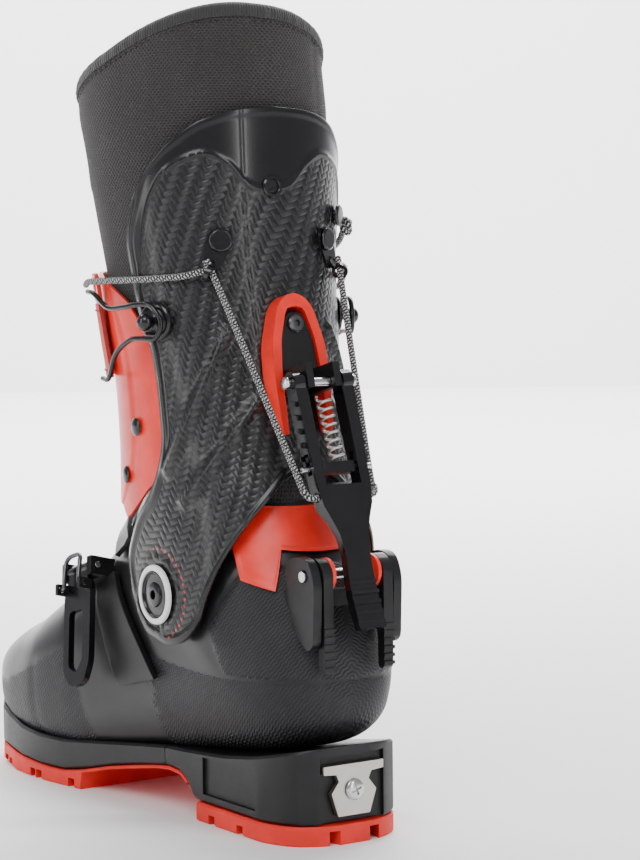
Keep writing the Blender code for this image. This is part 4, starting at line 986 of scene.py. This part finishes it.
def make_tongue():
    """Red tongue with a scooped lower end and raised borders, and its two rivets."""
    def place(u, v, off):
        turn = 2 * u - 1
        top = 252.0 - 10.0 * turn ** 6
        bottom = 158.0 - 20.0 * abs(turn) ** 1.5
        z = bottom + (top - bottom) * v
        half = 180.0 - cuff_front(z) - 1.6
        near = min(v, 1 - v)
        edge = min(1.0, 0.86 + 0.14 * math.sqrt(near * 6)) if near < 1 / 6 else 1.0
        ridge = 0.0
        if off == 0.0:
            ridge = -0.7 * smooth_step(abs(turn), 0.80, 0.83)
            ridge += 0.5 * bell(abs(turn) - 0.45, 0.03)
        return sleeve_point(180.0 + turn * half * edge, z, off + ridge - 1.0)

    tongue = sheet("boot_tongue", place, 140, 60, 1.9, M["red"], None, "tongue")
    bend_at_ankle(tongue, 140, 172)
    head = [(0, 1.7), (1.6, 1.6), (2.8, 1.4), (3.8, 0.95), (4.2, 0.6), (4.2, 0.35), (0, 0.35)]
    for number, angle, z in ((1, 94.0, 181.0), (2, 108.0, 158.0)):
        rivet = turned("rivet_%d" % number, head, stud_matrix(angle, z, -0.9), M["gloss"], None,
                       "tongue_rivet_%d" % number)
        bend_at_ankle(rivet, 140, 172)


def make_strap():
    """Webbing strap over the tongue with its stitches, and a stud and a wire loop on each side."""
    def band(u, v, off):
        wave = 0.35 * math.sin(u * 37.0) * math.sin(v * 3.1) if off == 0.0 else 0.0
        return sleeve_point(STRAP_START + STRAP_SPAN * u, STRAP_LOW + STRAP_WIDTH * v, 3.0 + off + wave)

    length = length_of([sleeve_point(a, STRAP_LOW + STRAP_WIDTH / 2, 3.0)
                        for a in even(STRAP_START, STRAP_START + STRAP_SPAN, 144)])

    def coords(u, v):
        return u * length, v * STRAP_WIDTH

    strap = sheet("webbing_strap", band, 160, 24, 1.9, M["web"], CUFF, "power_strap", coords,
                  edge=0.4)
    rows = []
    for v in (0.09, 0.91):
        for i in range(54):
            u = (i + 0.2) / 54
            out = sleeve_normal(STRAP_START + STRAP_SPAN * u, STRAP_LOW + STRAP_WIDTH / 2)
            rows.append([band(u + step, v, 0.0) + out * lift
                         for step, lift in ((0.0, 0.0), (0.005, 0.3), (0.010, 0.0))])
    stitches("strap_stitches", rows, 0.35, M["web"], CUFF)
    stud = [(0, 11.6), (1.3, 11.5), (2.5, 11.0), (3.5, 10.0), (3.9, 8.8), (3.8, 7.7), (3.2, 6.6), (2.3, 5.8),
            (2.1, 5.0), (2.2, 3.2), (3.0, 2.8), (5.4, 2.6), (7.4, 2.1), (8.4, 1.6), (8.8, 1.0), (8.8, 0.5),
            (0, 0.5)]
    wire = [(104.5, 243, 7.8), (98, 242, 7.6), (90, 236, 7.2), (80, 236.5, 6.9), (72.5, 237.6, 6.9),
            (64.5, 237.2, 6.9), (60.6, 230, 6.9), (64.5, 222.8, 6.9), (72.5, 222.4, 6.9), (80, 221.5, 6.9),
            (90, 215, 7.2), (98, 203.5, 7.6), (104.5, 203, 7.8)]
    for side, word in SIDES:
        turned("stud_" + word, stud, stud_matrix(67.5 * side, 230.0), M["gloss"], CUFF,
               "strap_stud_" + word, 64)
        route = smooth_route([sleeve_point(side * a, z, off) for a, z, off in wire], 1.2)
        tube("wire_" + word, route, 1.2, M["gloss"], "strap_wire_" + word,
             "strap_bail_" + word)


# ---- spring, cords and wires

def make_spring():
    """Coil spring between the lever and the sliding lock."""
    top = Vector((0.0, lever_centre(196.0) + 0.5, 196.5))
    foot = Vector((0.0, lever_centre(165.5) + 1.0, 169.5))
    along = foot - top
    sideways = Vector((1, 0, 0))
    across = along.normalized().cross(sideways)
    turns, steps = 8, 24
    coil = []
    for i in range(turns * steps + 1):
        a = 2 * math.pi * i / steps
        round_axis = (sideways * math.cos(a) + across * math.sin(a)) * 3.2
        coil.append(top + along * (i / (turns * steps)) + round_axis)
    tube("coil_spring", coil, 0.62, M["nickel"], LATCH, "lock_spring", 12)


def eyelet(side):
    """Middle of a cord guide's eyelet, and the direction of the cord through it."""
    eye = sleeve_point(33.5 * side, 251.5, 5.6)
    run_in = (sleeve_point(46.0 * side, 250.4, 4.0) - eye).normalized()
    run_out = (mirror(CORD_ENTRY, side) - eye).normalized()
    return eye, (run_out - run_in).normalized()


def make_cords():
    """Power cord on each side, from the front through the guide to the walk lever, and the knotted end."""
    runs = {"lateral": ((111, 246, 6.4), (104, 247.5, 6.6), (92, 248, 5.6), (80, 248.5, 4.2),
                        (68, 249, 3.4), (56, 249.6, 3.2), (46, 250.4, 4)),
            "medial": ((87, 243, 10), (80, 244, 8), (72, 245.5, 4.6), (60, 248, 3.2),
                       (50, 250, 3.4), (43, 250.8, 4.4))}
    for side, word in SIDES:
        eye, through = eyelet(side)
        route = [sleeve_point(side * a, z, off) for a, z, off in runs[word]]
        route += [eye - through * 2.0, eye + through * 2.0]
        route += [mirror(p, side) for p in (CORD_ENTRY, (18.8, 133.4, 156.4), (16.8, *CORD_HOLE),
                                            (11.2, *CORD_HOLE))]
        fine = smooth_route(route, 1.4)
        cord = tube("power_cord_" + word, fine, CORD_RADIUS, M["braid"], None, "cord_" + word)
        at_frame((side * 26, 116, 236))
        at_frame((side * 18, 134, 158))
        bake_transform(cord)
        at_frame(fine[-1])
        length_of(fine) * MM
        [at_frame(p) for p in reversed(fine)]
    upper = smooth_route([sleeve_point(-a, z, off) for a, z, off in
                          ((112, 252, 2.4), (96, 256, 2.6), (86, 259, 2.6), (76, 262, 2.6),
                           (66, 265.5, 2.6), (58, 269, 2.8))], 1.4)
    knot_at = stud_matrix(-50.6, 272.0, 4.4)
    loop = []
    for i in range(97):
        t = 2 * math.pi * i / 96
        wide = 1.7 + 0.9 * math.cos(3 * t)
        loop.append(knot_at @ Vector((wide * math.cos(2 * t), wide * math.sin(2 * t) * 1.25,
                                      1.5 * math.sin(3 * t))))
    knot = tube("tied_knot", loop, 1.45, M["braid"], CUFF, "cord_knot")
    cord = tube("power_cord_end", upper, CORD_RADIUS, M["braid"], CUFF, "cord_upper")
    at_frame(upper[0])
    length_of(upper) * MM
    [at_frame(p) for p in upper]


def instep_frame():
    """The buckle's place on the instep: z away from the shell, y up along the buckle."""
    top = shell_point(8.0, 54.0, 7.5)
    low = shell_point(7.6, 97.0, 8.5)
    return frame_matrix(top, shell_normal(7.7, 74.0), top - low)


def make_hinge_pin():
    """Lever hinge pin with a domed head at each end."""
    head = [(0, 19.5), (1.5, 19.3), (2.6, 18.7), (2.9, 18.0), (2.9, 17.4), (2.0, 17.3)]
    profile = head + [(r, -h) for r, h in reversed(head)]
    turned("hinge_pin", profile, frame_matrix((0, *BARREL), (1, 0, 0), (0, 0, 1)), M["steel"], CUFF,
           "lever_hinge_pin", 40)


def make_instep_wire():
    """Bent wire that hooks the buckle's lever to the ladder."""
    matrix = instep_frame()
    half = [(9.9, -9.0, 9.2), (7.2, -9.0, 9.2), (6.3, -8.0, 9.2), (6.2, -4.0, 9.4), (6.2, 2.0, 8.9),
            (5.4, 5.0, 8.3), (3.0, 6.4, 8.0)]
    knots = [(-x, y, z) for x, y, z in half] + list(reversed(half))
    tube("instep_wire_loop", smooth_route([matrix @ Vector(p) for p in knots], 0.8), 1.1, M["dark"],
         "instep_wire", "instep_bail")


# ---- CAD nodes that keep their shape

def finish_nodes():
    """Softened edges and a material for the CAD nodes that are shown as they are."""
    groups = {
        ("heel_tread", "forefoot_tread"): ("rubber", 0.7), ("forefoot_sole", "heel_block"): ("sole", 0.8),
        ("heel_fitting", "toe_insert", "pivot_nut_lateral", "pivot_nut_medial"): ("nickel", 0.35),
        ("lock_pin", "lever_cross_pin", "instep_pin"): ("steel", 0.2),
        ("boot_board",): ("foam", 0.6), ("footbed",): ("felt", 0.6),
        ("heel_bracket", "lean_tab_lateral", "lean_tab_medial", "instep_base", "instep_strap",
         "instep_ladder", "spine_plate", "lock_slider"): ("black", 0.45),
        ("walk_lever", "instep_lever", "cord_guide_lateral", "cord_guide_medial", "guide_rivet_lateral",
         "guide_rivet_medial", "cord_button"): ("gloss", 0.4),
        ("spine_housing", "lean_cam_lateral", "lean_cam_medial", "strap_end_tab"): ("red", 0.6)}
    for names, (finish, width) in groups.items():
        for name in names:
            node = frame["nodes"][name]
            weld = node.modifiers.new("weld", 'WELD')
            weld.merge_threshold = 0.00001
            bevel(node, width, 3, 32)
            node.modifiers.new("even_normals", 'WEIGHTED_NORMAL')
            node.data.materials.clear()
            node.data.materials.append(M[finish])


# ---- studio

def soft_light(name, place, aim, size, power):
    light = bpy.data.lights.new(name, 'AREA')
    light.shape = 'RECTANGLE'
    light.size, light.size_y = size
    light.energy = power
    lamp = add_object(name, light)
    lamp.location = place
    lamp.rotation_euler = (Vector(aim) - Vector(place)).to_track_quat('-Z', 'Y').to_euler()


def studio_plane(name, corners, material):
    mesh = bpy.data.meshes.new(name)
    mesh.from_pydata(corners, [], [(0, 1, 2, 3)])
    mesh.materials.append(material)
    return add_object(name, mesh)


def make_studio():
    """Pale floor and wall, a soft world and five soft lights."""
    pale = Shader("studio_floor", (0.9, 0.9, 0.9), 0.8)
    pale.colour(pale.blend(pale.noise(2.0), (0.9, 0.9, 0.9), (0.92, 0.92, 0.92)))
    ground = studio_plane("studio_floor", [(-8, -8, 0), (8, -8, 0), (8, 8, 0), (-8, 8, 0)], pale.material)
    side = Vector((math.cos(VIEW_AZIMUTH), math.sin(VIEW_AZIMUTH), 0.0)) * 9.0
    away = Vector((-math.sin(VIEW_AZIMUTH), math.cos(VIEW_AZIMUTH), 0.0)) * 3.2
    tall = Vector((0, 0, 6))
    backdrop = studio_plane("studio_wall", [away - side, away + side, away + side + tall, away - side + tall],
                            pale.material)
    soft_light("wall_wash", away * 0.45 + Vector((0, 0, 2.6)), away + Vector((0, 0, 0.6)), (3.0, 0.8), 330.0)
    world = bpy.data.worlds.new("studio")
    bpy.context.scene.world = world
    world.use_nodes = True
    world.node_tree.nodes["Background"].inputs["Color"].default_value = (0.95, 0.96, 1.0, 1.0)
    world.node_tree.nodes["Background"].inputs["Strength"].default_value = 0.5
    aim = (0.0, 0.0, 0.18)
    soft_light("key", (1.1, 0.9, 1.5), aim, (0.9, 0.9), 17.0)
    soft_light("left_strip", (-0.2, 1.6, 0.7), aim, (0.25, 1.4), 8.0)
    soft_light("right_strip", (1.7, -0.2, 0.6), aim, (0.3, 1.5), 9.0)
    soft_light("fill", (-1.3, -1.1, 1.2), aim, (1.2, 1.2), 8.0)


def make_camera():
    level = math.cos(VIEW_ELEVATION)
    back = Vector((math.sin(VIEW_AZIMUTH) * level, -math.cos(VIEW_AZIMUTH) * level, math.sin(VIEW_ELEVATION)))
    right = (-back).cross(Vector((0, 0, 1))).normalized()
    up = right.cross(-back)
    cos, sin = math.cos(VIEW_ROLL), math.sin(VIEW_ROLL)
    right, up = right * cos + up * sin, up * cos - right * sin
    data = bpy.data.cameras.new("camera")
    data.sensor_fit = 'VERTICAL'
    data.sensor_height = 36.0
    data.lens = 108.4
    data.clip_start = 0.01
    camera = add_object("camera", data)
    turn = Matrix((right, up, back)).transposed().to_4x4()
    camera.matrix_world = Matrix.Translation(Vector(at_frame(CAMERA_PLACE))) @ turn
    bpy.context.scene.camera = camera


M = make_materials()
make_camera()
make_cords()
make_shell()
make_liner()
make_liner_tape()
make_panel()
make_pivots()
make_screws()
make_cuff()
make_tongue()
make_strap()
make_spring()
make_instep_wire()
make_hinge_pin()
finish_nodes()
make_studio()
